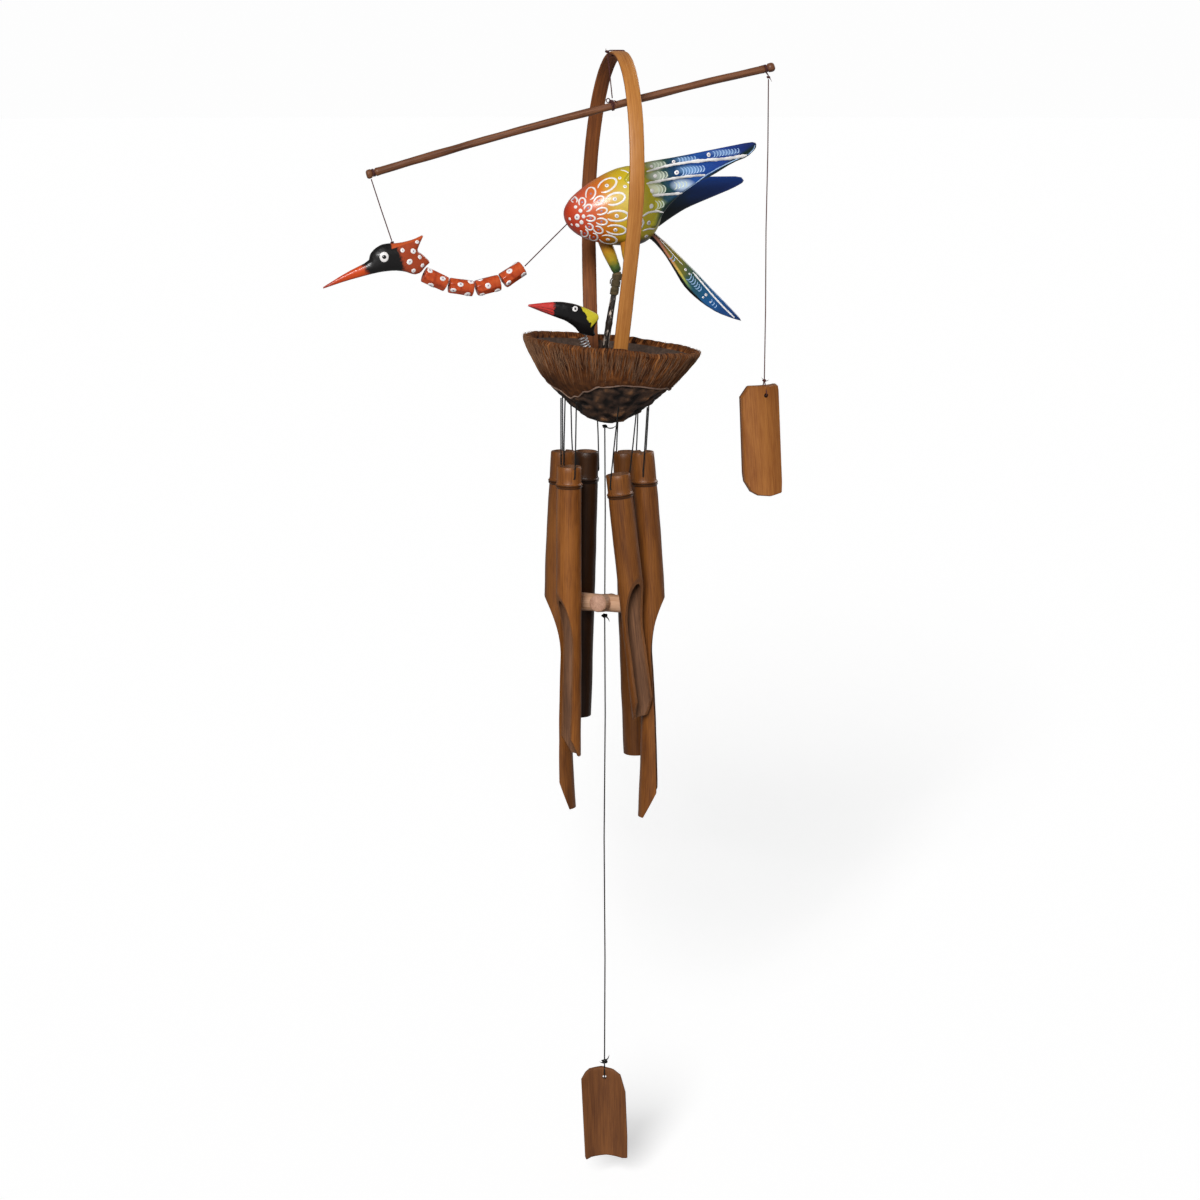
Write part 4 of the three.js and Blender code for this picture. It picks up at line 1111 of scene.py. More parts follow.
def make_body(material):
    """An egg of carved wood, with the hole for the neck cord drilled in its breast."""
    length, widest = BODY["length"], BODY["widest"]
    rings = []
    count = 56
    for i in range(1, count):
        along = (1 - math.cos(math.pi * i / count)) / 2 * length
        side = widest if along < widest else length - widest
        r = BODY["r"] * math.sqrt(max(0, 1 - ((along - widest) / side) ** 2))
        ring = []
        for k in range(80):
            a = TAU * k / 80
            point = body_point(a, along, r)
            facet = 0.28 * noise.noise(point * 0.09)
            ring.append(point + Vector((0, point.y, point.z)).normalized() * facet)
        rings.append(ring)
    vertices, faces = skin(rings)
    place = placed(BODY["tip"][0], 0, BODY["tip"][1], about("Y", -BODY["slope"]))
    piece = make("body_egg", vertices, faces, [material], place, sharp=60)
    cutter = make("breast_hole", *turned([(0, -9), (2.1, -9), (2.1, 6), (0, 6)], 24), [material])
    neck = Vector((-70.86, 0, -153.86))
    way = (Vector((BREAST[0], 0, BREAST[1])) - neck).normalized()
    turn = Vector((0, 0, 1)).rotation_difference(-way).to_matrix().to_4x4()
    cutter.matrix_world = placed(BREAST[0], BALANCE_Y, BREAST[1], turn)
    cut_out(piece, [cutter])
    return fit(piece, "frame", "body_paint", "bird_body")


NEAR_WING = [(-2, -92), (10, -79.2), (17.7, -77.2), (42.2, -73.3), (72.1, -67.5), (96.1, -63), (100, -63.9),
             (99.7, -67.9), (93.3, -74.1), (82.7, -78.1), (65.5, -88.4), (57.3, -91.6), (44.6, -100),
             (39.4, -104.4), (33.5, -110.2), (27.5, -119), (24.6, -126.4), (8, -120)]
FAR_WING = [(0, -100), (12, -92), (40, -89), (70.2, -90.5), (79.3, -90.1), (104, -90.3), (106.4, -94.6),
            (97.1, -99.3), (79.5, -105.8), (64.6, -111.3), (56.4, -114.8), (45.8, -120.9), (34.7, -128.2),
            (22, -129), (8, -114)]
TAIL = [(18, -122), (24, -125.5), (30, -131), (40, -139), (51, -149.6), (63, -161), (75, -173.4),
        (88, -186), (100, -198.6), (92, -196.4), (78, -191.2), (66, -184), (56, -176), (49.5, -169),
        (43, -157.4), (36, -146), (28, -137), (19, -131)]
# The grooves between each wing's feathers, from root to tip.
NEAR_FEATHERS = [((17, -83.8), (100, -72.4)), ((17, -92.6), (70, -86)), ((17, -102.6), (54, -99.4)),
                 ((14, -113.4), (36, -114.6))]
FAR_FEATHERS = [((12, -100), (106, -95)), ((18, -110), (90, -104))]


def groove(x, z, feathers, depth=1.3, reach=7):
    """Each feather lies a little over the next: its lower edge stands up from the groove."""
    low = 0.0
    for (x0, z0), (x1, z1) in feathers:
        d = z - z0 - (z1 - z0) * (x - x0) / (x1 - x0)
        if -reach < d < 0:
            low = max(low, depth * (1 + d / reach))
        elif 0 <= d < 0.7:
            low = max(low, depth * (1 - d / 0.7))
    return low


def make_wings(near_paint, far_paint, tail_paint):
    """Flat boards that thin out to their tips, with grooved feathers on the wings' outer faces."""
    def wing_half(x):
        return clamp(x, 25, 105, 3.5, 1.3)

    def near_face(x, z, d):
        middle = -15 - clamp(x, 10, 100, 0, 9)
        cut = groove(x, z, NEAR_FEATHERS) * clamp(d, 0, 2, 0, 1)
        return middle - wing_half(x) + cut, middle + wing_half(x)

    def far_face(x, z, d):
        middle = 15 + clamp(x, 10, 105, 0, 9)
        cut = groove(x, z, FAR_FEATHERS) * clamp(d, 0, 2, 0, 1)
        return middle - wing_half(x), middle + wing_half(x) - cut

    def tail_face(x, z, d):
        middle = 0.35 * (z + 1.03 * (x - 24) + 130)
        half = clamp(x, 30, 100, 4, 1.2)
        return middle - half, middle + half

    near = make("near_wing_board", *panel(rounded(NEAR_WING), 1.7, near_face, 1.6), [near_paint], sharp=50)
    far = make("far_wing_board", *panel(rounded(FAR_WING), 1.9, far_face, 1.6), [far_paint], sharp=50)
    tail = make("tail_board", *panel(rounded(TAIL), 1.7, tail_face, 2.2, 3), [tail_paint], sharp=50)
    fit(near, "frame", "wing_paint", "near_wing")
    fit(far, "frame", "wing_paint", "far_wing")
    fit(tail, "frame", "wing_paint", "tail")
    return near, far, tail


# ---------------------------------------------------------------- painted patterns
ROSETTE = (-34.1, -117)  # the middle of the flower painted on the breast, as x and z
SPOTS = [(-34.1, -117, 2.3), (-29.9, -116.4, 1.5), (-31, -120.8, 1.7), (-33.4, -123.2, 1.7),
         (-31.9, -112.3, 1.6), (-34.8, -109.7, 1.4), (-38.4, -118.6, 1.2), (-36.8, -122.8, 1.0),
         (-30.2, -127.6, 1.0)]
# The flower's petals: middle, length and width of the small ones, and base, tip and width of the large.
SMALL_PETALS = [(-30.3, -106.1, 6.2, 4.0), (-26.9, -110.2, 6.0, 4.0), (-25.1, -117.8, 6.2, 4.2),
                (-25.4, -124.1, 6.0, 4.0), (-27.5, -129.1, 6.0, 4.0), (-34.9, -104.2, 5.2, 3.6),
                (-23.9, -100.0, 9.8, 5.4), (-19.1, -104.8, 8.2, 5.0), (-17.6, -112.5, 8.2, 4.8),
                (-17.3, -120.2, 8.0, 4.8), (-18.9, -126.4, 7.4, 4.6), (-20.8, -132, 7.2, 4.6)]
LARGE_PETALS = [((-18.4, -98), (-5.2, -89.8), 7.2), ((-14.4, -105.8), (-0.4, -101.4), 8.0),
                ((-14.2, -116.2), (2, -115.8), 7.6), ((-13.8, -125.4), (1.4, -127.5), 6.8),
                ((-16.6, -132.2), (-3.6, -135.8), 6.2)]


def petal(base, tip, width):
    """Outline of one petal: its sides spread from its open base and meet round its tip."""
    base, along = Vector(base), Vector(tip) - Vector(base)
    across = Vector((-along.y, along.x)).normalized() * width / 2
    turns = [math.radians(-152 + 304 * i / 24) for i in range(25)]
    return [tuple(base + along * (0.5 + 0.5 * math.cos(t)) + across * math.sin(t)) for t in turns]


# Dots with violet middles round the flower, and loose strokes between its petals and the wings.
BODY_SPOTS = [(-2.2, -88.8, 1.4), (0.3, -94.8, 1.4), (6.5, -98.5, 1.2), (7.6, -109, 1.3), (7.4, -121.5, 1.2),
              (6.4, -131, 1.1), (18.4, -121.5, 1.8), (18.4, -131.7, 1.6), (9.5, -89.5, 1.2)]
BODY_STROKES = [[(0.6, -83.4), (3.2, -83.8), (5.6, -85.6)], [(1.6, -90.2), (3.6, -92.2), (5.6, -92.6)],
                [(12.6, -116.8), (17.2, -113.9), (22, -113.2), (27, -113.8)],
                [(12.4, -117.5), (14.2, -121.4), (12.6, -126)],
                [(14.4, -127.4), (18.6, -126), (24.4, -126.4)], [(11.6, -128), (13, -131), (11.6, -134)],
                [(9.8, -104), (11.6, -108), (9.8, -112.4)], [(8.4, -93), (11, -97), (9.2, -101.4)]]


def spots(brush, centres, places, side, rise=0.3):
    """White dots with violet middles."""
    for x, z, r in places:
        brush.mark(x, z, r, side, rise)
        centres.mark(x, z, r * 0.42, side, rise + 0.15)


def make_body_pattern(body, white, violet):
    """The flower on the breast, the same on both sides, with dots and strokes round it."""
    brush = Paint(body)
    centres = Paint(body)
    for side in (-1, 1):
        for x, z, r in SPOTS:
            brush.mark(x, z, r, side)
        centres.mark(*ROSETTE, 0.8, side, 0.5)
        for x, z, length, width in SMALL_PETALS:
            middle = Vector((x, z))
            reach = (middle - Vector(ROSETTE)).normalized() * length / 2
            brush.line(petal(middle - reach, middle + reach, width), 1.45, side, 0.7, 0.3, 1)
            centres.mark(x, z, 0.85, side, 0.15)
        for base, tip, width in LARGE_PETALS:
            brush.line(petal(base, tip, width), 1.75, side, 0.8, 0.3, 1)
            middle = Vector(base).lerp(Vector(tip), 0.47)
            spots(brush, centres, [(*middle, 1.6)], side)
        spots(brush, centres, BODY_SPOTS, side)
        for points in BODY_STROKES:
            brush.line(points, 1.6, side, 0.7, 0.28, 2)
    brush.piece("body_white_strokes", white, "frame", "body_paint")
    centres.piece("body_dot_centres", violet, "frame", "body_paint")


def scallops(brush, runs, side):
    """Runs of arcs like overlapping scales, trailing toward the tip.

    Each run has its start, its count, the step from arc to arc, the first arc's size, and its slope.
    """
    for x, z, count, pitch, reach, slope in runs:
        lean = math.radians(slope)
        for i in range(count):
            size = reach * (1 - 0.3 * i / count)
            arc = []
            for k in range(11):
                t = math.radians(-96 + 176 * k / 10)
                px, pz = size * 0.8 * (math.cos(t) - 0.3), size * math.sin(t)
                arc.append((x + i * pitch + px * math.cos(lean) - pz * math.sin(lean),
                            z + i * pitch * math.tan(lean) + px * math.sin(lean) + pz * math.cos(lean)))
            brush.line(arc, 0.9, side, 0.6, 0.16, 1)


# The white lines along the near wing's feathers, with their widths.
NEAR_LINES = [([(17.2, -84.2), (30.8, -80.4), (40.5, -78.6), (55.2, -76.7)], 2.1),
              ([(50, -77.2), (69.9, -75.8), (79.8, -75), (92.4, -72.8)], 3.0),
              ([(17.2, -92.9), (30.8, -90.4), (40.6, -88.8), (50.3, -87.7), (61, -87)], 2.5),
              ([(17, -102.8), (26, -101.3), (35.7, -100.8), (44, -100.1)], 2.6),
              ([(20, -113.2), (24.1, -112.8), (29.8, -114.2)], 1.9)]
# A thin pale-blue stroke along the near wing's lower edge to its tip: a painted highlight on the cut edge.
NEAR_EDGE_HIGHLIGHT = [(34, -110.5), (45.5, -98.9), (54.3, -92.9), (61.2, -87.6), (70, -82.5), (78.8, -78.4),
             (87.7, -74.6), (93.6, -72.3), (97.6, -68.6), (98.6, -65.2)]
NEAR_SPOTS = [(63.5, -72.3, 1.6), (39.6, -85, 1.8), (37.1, -77.1, 1.3)]
ROOT_DOTS = [(23.4, -87.4, 1.4), (21.1, -98.2, 1.6), (20, -109.3, 1.9), (20.6, -80.4, 1.2)]
NEAR_SCALES = [(40.6, -76.4, 6, 2.4, 2.2, 8), (67, -71.9, 9, 2.3, 2.3, 8), (43.2, -84.5, 8, 2.3, 3.0, 8)]
ROOT_SCALES = [(22, -80, 4, 2.6, 2.3, 8), (26, -87.2, 3, 2.6, 3.0, 8), (24.6, -97.6, 3, 2.6, 3.4, 8),
               (38.4, -94.6, 4, 2.6, 2.6, 8), (24, -108.6, 3, 2.3, 3.2, 8)]
FAR_LINES = [[(20, -99.2), (60, -96.2), (98, -94.4)], [(20, -109), (60, -105.7), (84, -103.6)]]
FAR_SCALES = [(32, -94.5, 8, 2.4, 2.2, 2), (62, -93.2, 11, 2.4, 1.8, 0), (34, -104.5, 8, 2.4, 2.6, 4),
              (30, -115, 6, 2.4, 3.0, 8)]
TAIL_EDGE = [(58.6, -160.2), (65, -167.4), (74, -177.6), (83, -187), (92, -195.2)]
TAIL_LINE = [(32, -135), (38, -141.6), (45, -149.4), (50.4, -154.6)]
TAIL_SPOTS = [(52.2, -158, 1.2), (55.4, -161.3, 0.9), (68.4, -177.2, 1.3), (65.7, -178.9, 0.9),
              (71.6, -182.8, 0.7)]
TAIL_SCALES = [(54.8, -163.4, 4, 1.8, 3.0, -46), (61.6, -170.8, 2, 1.8, 2.4, -46),
               (72.2, -182, 3, 1.9, 1.6, -46), (40.6, -148.2, 2, 2.0, 1.8, -46)]


def make_wing_pattern(near, far, tail, body, white, sky, haze, violet):
    """White lines along the feathers, with pale scales and dots between them, and a painted highlight on the
    near wing's edge.
    """
    lines, arcs, centres = Paint(near), Paint(near), Paint(near)
    pale, dots = Paint(near, body), Paint(near, body)
    for side in (-1, 1):
        for points, width in NEAR_LINES:
            lines.line(points, width, side, 1.0, 0.35)
        # The painted highlight along the near wing's lower edge, drawn as a pale-blue stroke.
        arcs.line(NEAR_EDGE_HIGHLIGHT, 0.75, side, 0.9, 0.2)
        spots(lines, centres, NEAR_SPOTS, side)
        for x, z, r in ROOT_DOTS:
            dots.mark(x, z, r, side)
        scallops(arcs, NEAR_SCALES, side)
        scallops(pale, ROOT_SCALES, side)
    lines.piece("near_wing_white_lines", white, "frame", "wing_paint")
    arcs.piece("near_wing_scales_and_edge_highlight", sky, "frame", "wing_paint")
    pale.piece("near_wing_pale_scales", haze, "frame", "wing_paint")
    dots.piece("near_wing_root_dots", white, "frame", "wing_paint")
    centres.piece("near_wing_dot_centres", violet, "frame", "wing_paint")
    lines, arcs = Paint(far), Paint(far)
    for points in FAR_LINES:
        lines.line(points, 1.9, 1, 1.2, 0.35)
    scallops(arcs, FAR_SCALES, 1)
    lines.piece("far_wing_white_lines", white, "frame", "wing_paint")
    arcs.piece("far_wing_scales", sky, "frame", "wing_paint")
    lines, arcs, centres = Paint(tail), Paint(tail), Paint(tail)
    for side in (-1, 1):
        lines.line(TAIL_EDGE, 1.5, side, 1.0, 0.3)
        lines.line(TAIL_LINE, 0.5, side, 1.0, 0.2)
        spots(lines, centres, TAIL_SPOTS, side, 0.2)
        scallops(arcs, TAIL_SCALES, side)
    lines.piece("tail_white_lines", white, "frame", "wing_paint")
    arcs.piece("tail_scales", sky, "frame", "wing_paint")
    centres.piece("tail_dot_centres", violet, "frame", "wing_paint")


# ---------------------------------------------------------------- bird head and neck beads
HEAD = [(-225.3, -168), (-204, -161.4), (-187, -157.2), (-178, -155.4), (-168.5, -154.6), (-161, -155.4),
        (-153.6, -158), (-149.2, -156.8), (-145, -151.8), (-141.4, -149), (-146.8, -143.6),
        (-151.4, -140.6), (-149.2, -135.4), (-145.8, -128.6), (-154, -132.2), (-161, -133.9),
        (-166.6, -134.7), (-172.4, -134.7), (-177.5, -135.4), (-182.6, -138.3), (-186.2, -142.4),
        (-187.2, -147.4), (-204, -155.4)]
EYE = (-176.8, -144.1)
HEAD_SPOTS = [(-163, -139.6, 1.7), (-155, -140.4, 2.1), (-150.2, -144.8, 1.6), (-158, -148, 2.2),
              (-148.2, -151, 1.6), (-155, -154.6, 1.7), (-151.6, -133.9, 1.5)]


def make_head(paint):
    """A carved head, thin at the beak and the crest."""
    def face(x, z, d):
        length = clamp(x, -222, -186, 1.8, 8.6) if x < -186 else clamp(x, -186, -178, 8.6, 12.6)
        half = length / 2 * clamp(x, -160, -144, 1, 0.8) * clamp(z, -142, -130, 1, 0.45)
        dome = 0.72 + 0.28 * math.sqrt(1 - (1 - min(1, d / 8)) ** 2)
        return BALANCE_Y - half * dome, BALANCE_Y + half * dome

    piece = make("head_carving", *panel(rounded(HEAD), 1.1, face, 2.2, 4), [paint], sharp=60)
    return fit(piece, "head", "head_paint", "bird_head")


def make_head_pattern(head, white, violet, black):
    """An eye on each side, and dots over the back of the head."""
    dots, centres, pupils = Paint(head), Paint(head), Paint(head)
    for side in (-1, 1):
        dots.mark(*EYE, 3.7, side, 0.5)
        pupils.mark(*EYE, 1.6, side, 0.85)
        for x, z, r in HEAD_SPOTS:
            dots.mark(x, z, r, side)
            centres.mark(x, z, r * 0.3, side, 0.5)
    dots.piece("head_white_dots", white, "head", "head_paint")
    centres.piece("head_dot_centres", violet, "head", "head_paint")
    pupils.piece("head_pupils", black, "head", "head_paint")


# Each bead's dots: place along the bead, and angle round it, from the near side upward.
BEAD_DOTS = [
    [(-7.0, 50), (4.0, 28), (-1.8, -62), (-4, 140), (5, 200), (0, 262)],
    [(-6.6, -30), (-1.8, 22), (4.7, -52), (6, 60), (0, 130), (-5, 196), (5, 225)],
    [(-1.0, 5), (-6.2, -64), (5.6, -62), (-5, 78), (4, 130), (-2, 192), (6, 232)],
    [(-6.6, -28), (-1.4, 46), (6.3, -42), (6, 110), (-4, 150), (2, 215), (-6, 262)],
]
BEAD = dict(half=9.1, r=6.15, bore=1.6)


def bead_block(i):
    """An eight-sided bead bored through along X, each one a little uneven."""
    half, r, bore = BEAD["half"], BEAD["r"], BEAD["bore"]
    end = [(half, bore + 0.15), (half, r - 1.0), (half - 0.35, r - 0.25), (half - 1.0, r), (4, r)]
    profile = [(-x, reach) for x, reach in end] + [(0, r)] + list(reversed(end))
    profile += [(half - 6, bore), (0, bore), (6 - half, bore), (-half, bore + 0.15)]
    rings = []
    for x, reach in profile:
        ring = []
        for k in range(48):
            a = TAU * k / 48
            facet = (a + math.pi / 8) % (math.pi / 4) - math.pi / 8
            flat = min(math.cos(math.pi / 8) / math.cos(facet), 0.985)
            swell = 1 + 0.025 * math.sin(a * 2 + i * 2 + x * 0.2)
            radius = reach * (flat * swell if reach > 2 else 1)
            ring.append(Vector((x, -radius * math.cos(a), radius * math.sin(a))))
        rings.append(ring)
    return skin(rings, caps=False)


def make_neck(paint, white, violet, twine):
    """Faceted beads with big painted dots, and the twine that shows between them."""
    start = Vector((NECK["x"], BALANCE_Y, NECK["z"]))
    for i, angle in enumerate(NECK["angles"]):
        step = Vector((math.cos(math.radians(angle)), 0, math.sin(math.radians(angle)))) * NECK["pitch"]
        middle = start + step * 0.5
        start = start + step
        place = placed(*middle, about("Y", -angle))
        turn = place.to_3x3()
        body = f"bead_{i + 1}"
        bead = make(f"{body}_block", *bead_block(i), [paint], place, sharp=32)
        fit(bead, body, "bead_paint", f"neck_{body}")
        dots, centres = Paint(bead), Paint(bead)
        for along, roll in BEAD_DOTS[i]:
            a = math.radians(roll)
            out = turn @ Vector((0, -math.cos(a), math.sin(a)))
            origin = turn @ Vector((along, 0, 0)) + middle
            hit, normal, *_ = dots.tree.ray_cast(origin + out * 20, -out)
            if hit:
                dots.dot(hit, normal, 2.3)
                centres.dot(hit, normal, 0.75, 0.48)
        dots.piece(f"{body}_dots", white, body, "bead_paint")
        centres.piece(f"{body}_dot_centres", violet, body, "bead_paint")
        core = [turn @ Vector((x, 0, 0)) + middle for x in (-10, 0, 10)]
        vertices, faces, grain = strand(resampled(core, 0.7), TWINE_D / 2, 8, 3.4)
        line = make(f"neck_twine_{i + 1}", vertices, faces, [twine], grain=grain, sharp=80)
        fit(line, body, "purple_twine", f"neck_cord_{i + 1}")


# ---------------------------------------------------------------- legs
LEGS = [("far", (-9.4, 7.5, -133), (2, 7.5, -160.2), (-14.5, 8, -257)),
        ("near", (4.4, -7.5, -133), (9, -7.5, -160.2), (-6, -8, -257))]
# The knee's rows of twine: first and last height, radius, pitch and slant.
KNEE_WRAPS = [(0.4, 5.2, 3.3, 0.95, 0.5), (5.6, 10.6, 3.15, 0.9, -0.6), (11.2, 16.4, 2.9, 0.95, 0.4)]


def standing(start, end):
    """The place of a turned piece that runs from start to end."""
    turn = Vector((0, 0, 1)).rotation_difference(end - start)
    return placed(*start, turn.to_matrix().to_4x4())


def knee_wrap():
    """Rough rows of twine over a core, with a loose end."""
    core = [(0, -1.2), (2.6, -1.2), (3.1, 1), (3.2, 4), (2.6, 5.4), (3, 7), (3, 9.8), (2.5, 11), (2.9, 12.4),
            (2.6, 15.2), (2.3, 16.8), (0, 16.8)]
    shapes = [turned(refined(core, 1.5), 20)]
    for start, end, r, pitch, lean in KNEE_WRAPS:
        path = []
        for k in range(int((end - start) / pitch * 20)):
            a = TAU * k / 20
            wave = lean * math.cos(a + 1)
            path.append(Vector((r * math.cos(a), r * math.sin(a), start + pitch * k / 20 + wave)))
        shapes.append(strand(path, 0.5, 7, 2.4, 0.15, shrink=(0, 1)))
    loose = eased(resampled([(3.3, 0, 4.4), (4.4, 0.6, 6), (3.9, 1, 9)], 0.5), 3)
    return join(*shapes, strand(loose, 0.45, 7, 2.4))


def make_legs(thigh_paint, binding, stain):
    """On each leg a painted thigh, a knee bound with twine, and a cane shin down to the nest."""
    for name, *joints in LEGS:
        hip, knee, foot = (Vector(joint) for joint in joints)
        upper = (knee - hip).length
        lower = (foot - knee).length
        profile = [(0, -6), (4.6, -6), (5, 0), (4.9, upper * 0.45), (3.7, upper - 2.6), (3.0, upper - 1),
                   (0, upper - 1)]
        vertices, faces = turned(refined(profile, 2), 28, 0.5, 8)
        thigh = make(f"{name}_thigh_carving", vertices, faces, [thigh_paint], standing(hip, knee), sharp=55)
        fit(thigh, "frame", "thigh_paint", f"{name}_thigh")
        vertices, faces, grain = knee_wrap()
        wrap = make(f"{name}_knee_wrap", vertices, faces, [binding], standing(knee, foot), grain, sharp=80)
        fit(wrap, "frame", "knee_twine", f"{name}_knee_binding")
        profile = [(0, 15), (2.0, 15), (2.2, 20), (2.5, 36), (2.75, 38), (2.5, 40.5), (2.5, 66), (2.8, 68),
                   (2.55, 70), (2.4, lower), (0, lower)]
        vertices, faces = turned(refined(profile, 2), 24, 0.35, 3)
        shin = make(f"{name}_shin_cane", vertices, faces, [stain], standing(knee, foot), sharp=60)
        fit(shin, "frame", "shin_cane", f"{name}_shin")


# ---------------------------------------------------------------- chick on its spring
CHICK_Y = -20
CHICK = [(-76, -179.8), (-64, -184.9), (-52, -189.6), (-45, -192.2), (-38.2, -196.9), (-33.6, -202.6),
         (-22, -204.6), (-23.8, -198.8), (-18.9, -189), (-25.3, -185.1), (-31.4, -182.4), (-38.2, -179.9),
         (-47.2, -178.2), (-52.5, -178), (-60.7, -178.4)]
CHICK_EYE = (-38.8, -183.2)
# The lines between the halves of the beak, each with its width and rise.
CREASES = [([(-73, -180.9), (-62, -183.5), (-52, -187)], 0.5, 0.1),
           ([(-70, -181.8), (-60, -185.4), (-53, -189)], 0.4, 0.1),
           ([(-66, -181.2), (-58, -182.6), (-51, -185)], 0.35, 0.08)]
SPRING = dict(foot=(-15, CHICK_Y, -251.5), top=(-32, CHICK_Y, -204.5), turns=24, r=2.9, wire_r=0.52)


def make_chick(paint, white, black, wire):
    """The chick's carved head, with its eyes and its beak's lines, on a spring."""
    def face(x, z, d):
        half = clamp(x, -75, -44, 1.8, 9.6) / 2 * clamp(z, -207, -192, 0.62, 1)
        dome = 0.74 + 0.26 * math.sqrt(1 - (1 - min(1, d / 6)) ** 2)
        return CHICK_Y - half * dome, CHICK_Y + half * dome

    piece = make("chick_carving", *panel(rounded(CHICK), 1.1, face, 1.8, 4), [paint], sharp=60)
    fit(piece, "chick", "chick_paint", "chick_head")
    eyes, pupils, creases = Paint(piece), Paint(piece), Paint(piece)
    for side in (-1, 1):
        eyes.mark(*CHICK_EYE, 2.2, side, 0.4)
        pupils.mark(*CHICK_EYE, 0.95, side, 0.7)
        for points, width, rise in CREASES:
            creases.line(points, width, side, 0.8, rise)
    eyes.piece("chick_eyes", white, "chick", "chick_paint")
    pupils.piece("chick_pupils", black, "chick", "chick_paint")
    creases.piece("chick_beak_lines", black, "chick", "chick_paint")
    make_spring(wire)


def make_spring(wire):
    """The chick's neck, a close coil."""
    foot, top = Vector(SPRING["foot"]), Vector(SPRING["top"])
    axis = top - foot
    turn = Vector((0, 0, 1)).rotation_difference(axis)
    steps = SPRING["turns"] * 20
    path = []
    for i in range(steps + 1):
        a = TAU * i / 20
        point = Vector((SPRING["r"] * math.cos(a), SPRING["r"] * math.sin(a), axis.length * i / steps))
        path.append(turn @ point + foot)
    vertices, faces, grain = strand(path, SPRING["wire_r"], 8)
    spring = make("chick_spring_coil", vertices, faces, [wire], grain=grain, sharp=80)
    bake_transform(spring)
    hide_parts("chick_spring")


# ---------------------------------------------------------------- chime tubes
# The joint's ring and groove: how far the tube swells at each height from the joint.
JOINT = [(-0.1, 2.6), (0.25, 1.7), (0.85, 1.0), (0.9, 0.4), (0.1, -0.1), (0.75, -0.7), (0.6, -1.2),
         (-0.15, -1.9)]
TONGUE_HALF = 16  # half the width of the cutter for a tube's cut side


def tube_radius(drop):
    return clamp(drop, 0, 150, CHIME["top_r"], CHIME["low_r"])


def tube_profile(spec):
    """A tube from its top down, with the swollen ring and fine groove of its joint."""
    length, node = spec["length"], spec["node"]
    top, ring = tube_radius(0), tube_radius(node)
    profile = [(0, 0), (top - 1.0, 0), (top - 0.35, -0.15), (top, -0.7)]
    profile += [(ring + swell, level - node) for swell, level in JOINT]
    drops = [length * step / 8 for step in range(1, 9)]
    profile += [(tube_radius(drop), -drop) for drop in drops if drop > node + 4]
    return [*profile, (0, -length)]


def tongue_outline(i, spec):
    """What is cut away from the side of a tube: a curved start, then a slightly wavy run to the end."""
    length, start, run = spec["length"], spec["cut"], CHIME["run"]
    wide = tube_radius(150)
    shallow, deep = spec["cuts"]
    outline = [(wide + 4, -start + 1)]
    for k in range(15):
        share = k / 14
        x = wide - 0.2 + (shallow - wide + 0.2) * (1 - (1 - share) ** 2)
        outline.append((x, -start - run * share))
    for k in range(1, 16):
        share = k / 15
        drop = start + run + (length - spec["tongue"] - start - run) * share
        wave = 0.22 * noise.noise(Vector((drop * 0.06, i, 0)))
        outline.append((shallow + (deep - shallow) * share + wave, -drop))
    return outline + [(-wide * 0.55, -length - 0.01), (-wide * 0.55, -length - 3), (wide + 4, -length - 3)]


def tube_tools(i, spec, face_material, lining):
    """The cutters for a tube: its two bores, the notches in its rim, and its cut side."""
    length, node, bore = spec["length"], spec["node"], CHIME["bore"]
    top = tube_radius(0)
    upper = refined([(0, 1.2 - node), (top - 2.2, 1.6 - node), (top - 2.1, 3), (0, 3)], 4)
    lower = refined([(0, -length - 3), (bore, -length - 3), (bore, -node - 1.8), (0, -node - 1.4)], 5)
    tools = [make("tool", *turned(shape, 40), [lining]) for shape in (upper, lower)]
    tools.append(drill(CHIME["notch_r"], -25, 25, 14, lining))
    outline = tongue_outline(i, spec)
    count = len(outline)
    vertices = [(x, y, z) for y in (-TONGUE_HALF, TONGUE_HALF) for x, z in outline]
    faces = [tuple(range(count)), tuple(reversed(range(count, 2 * count)))]
    faces += [(k, k + count, (k + 1) % count + count, (k + 1) % count) for k in range(count)]
    return [*tools, make("tool", vertices, faces, [face_material])]


def make_tube(i, spec, skin_material, face_material, lining):
    """Cane with its joint near the top, cut away on the outer side into a long tongue."""
    vertices, faces = turned(refined(tube_profile(spec), 4), 48, 0.3, i)
    place = tube_place(spec)
    tube = make(f"chime_tube_{i}_cane", vertices, faces, [skin_material, face_material, lining], place)
    tools = tube_tools(i, spec, face_material, lining)
    for tool in tools:
        tool.matrix_world = place @ tool.matrix_world
    cut_out(tube, tools)
    for vertex in tube.data.vertices:
        vertex.co.x += arch(spec["bow"], clamp(-vertex.co.z / MM, 0, spec["length"], 0, 1)) * MM
    tube.data.update()
    fit(tube, f"chime_{i}", "chime_bamboo", f"chime_tube_{i}")


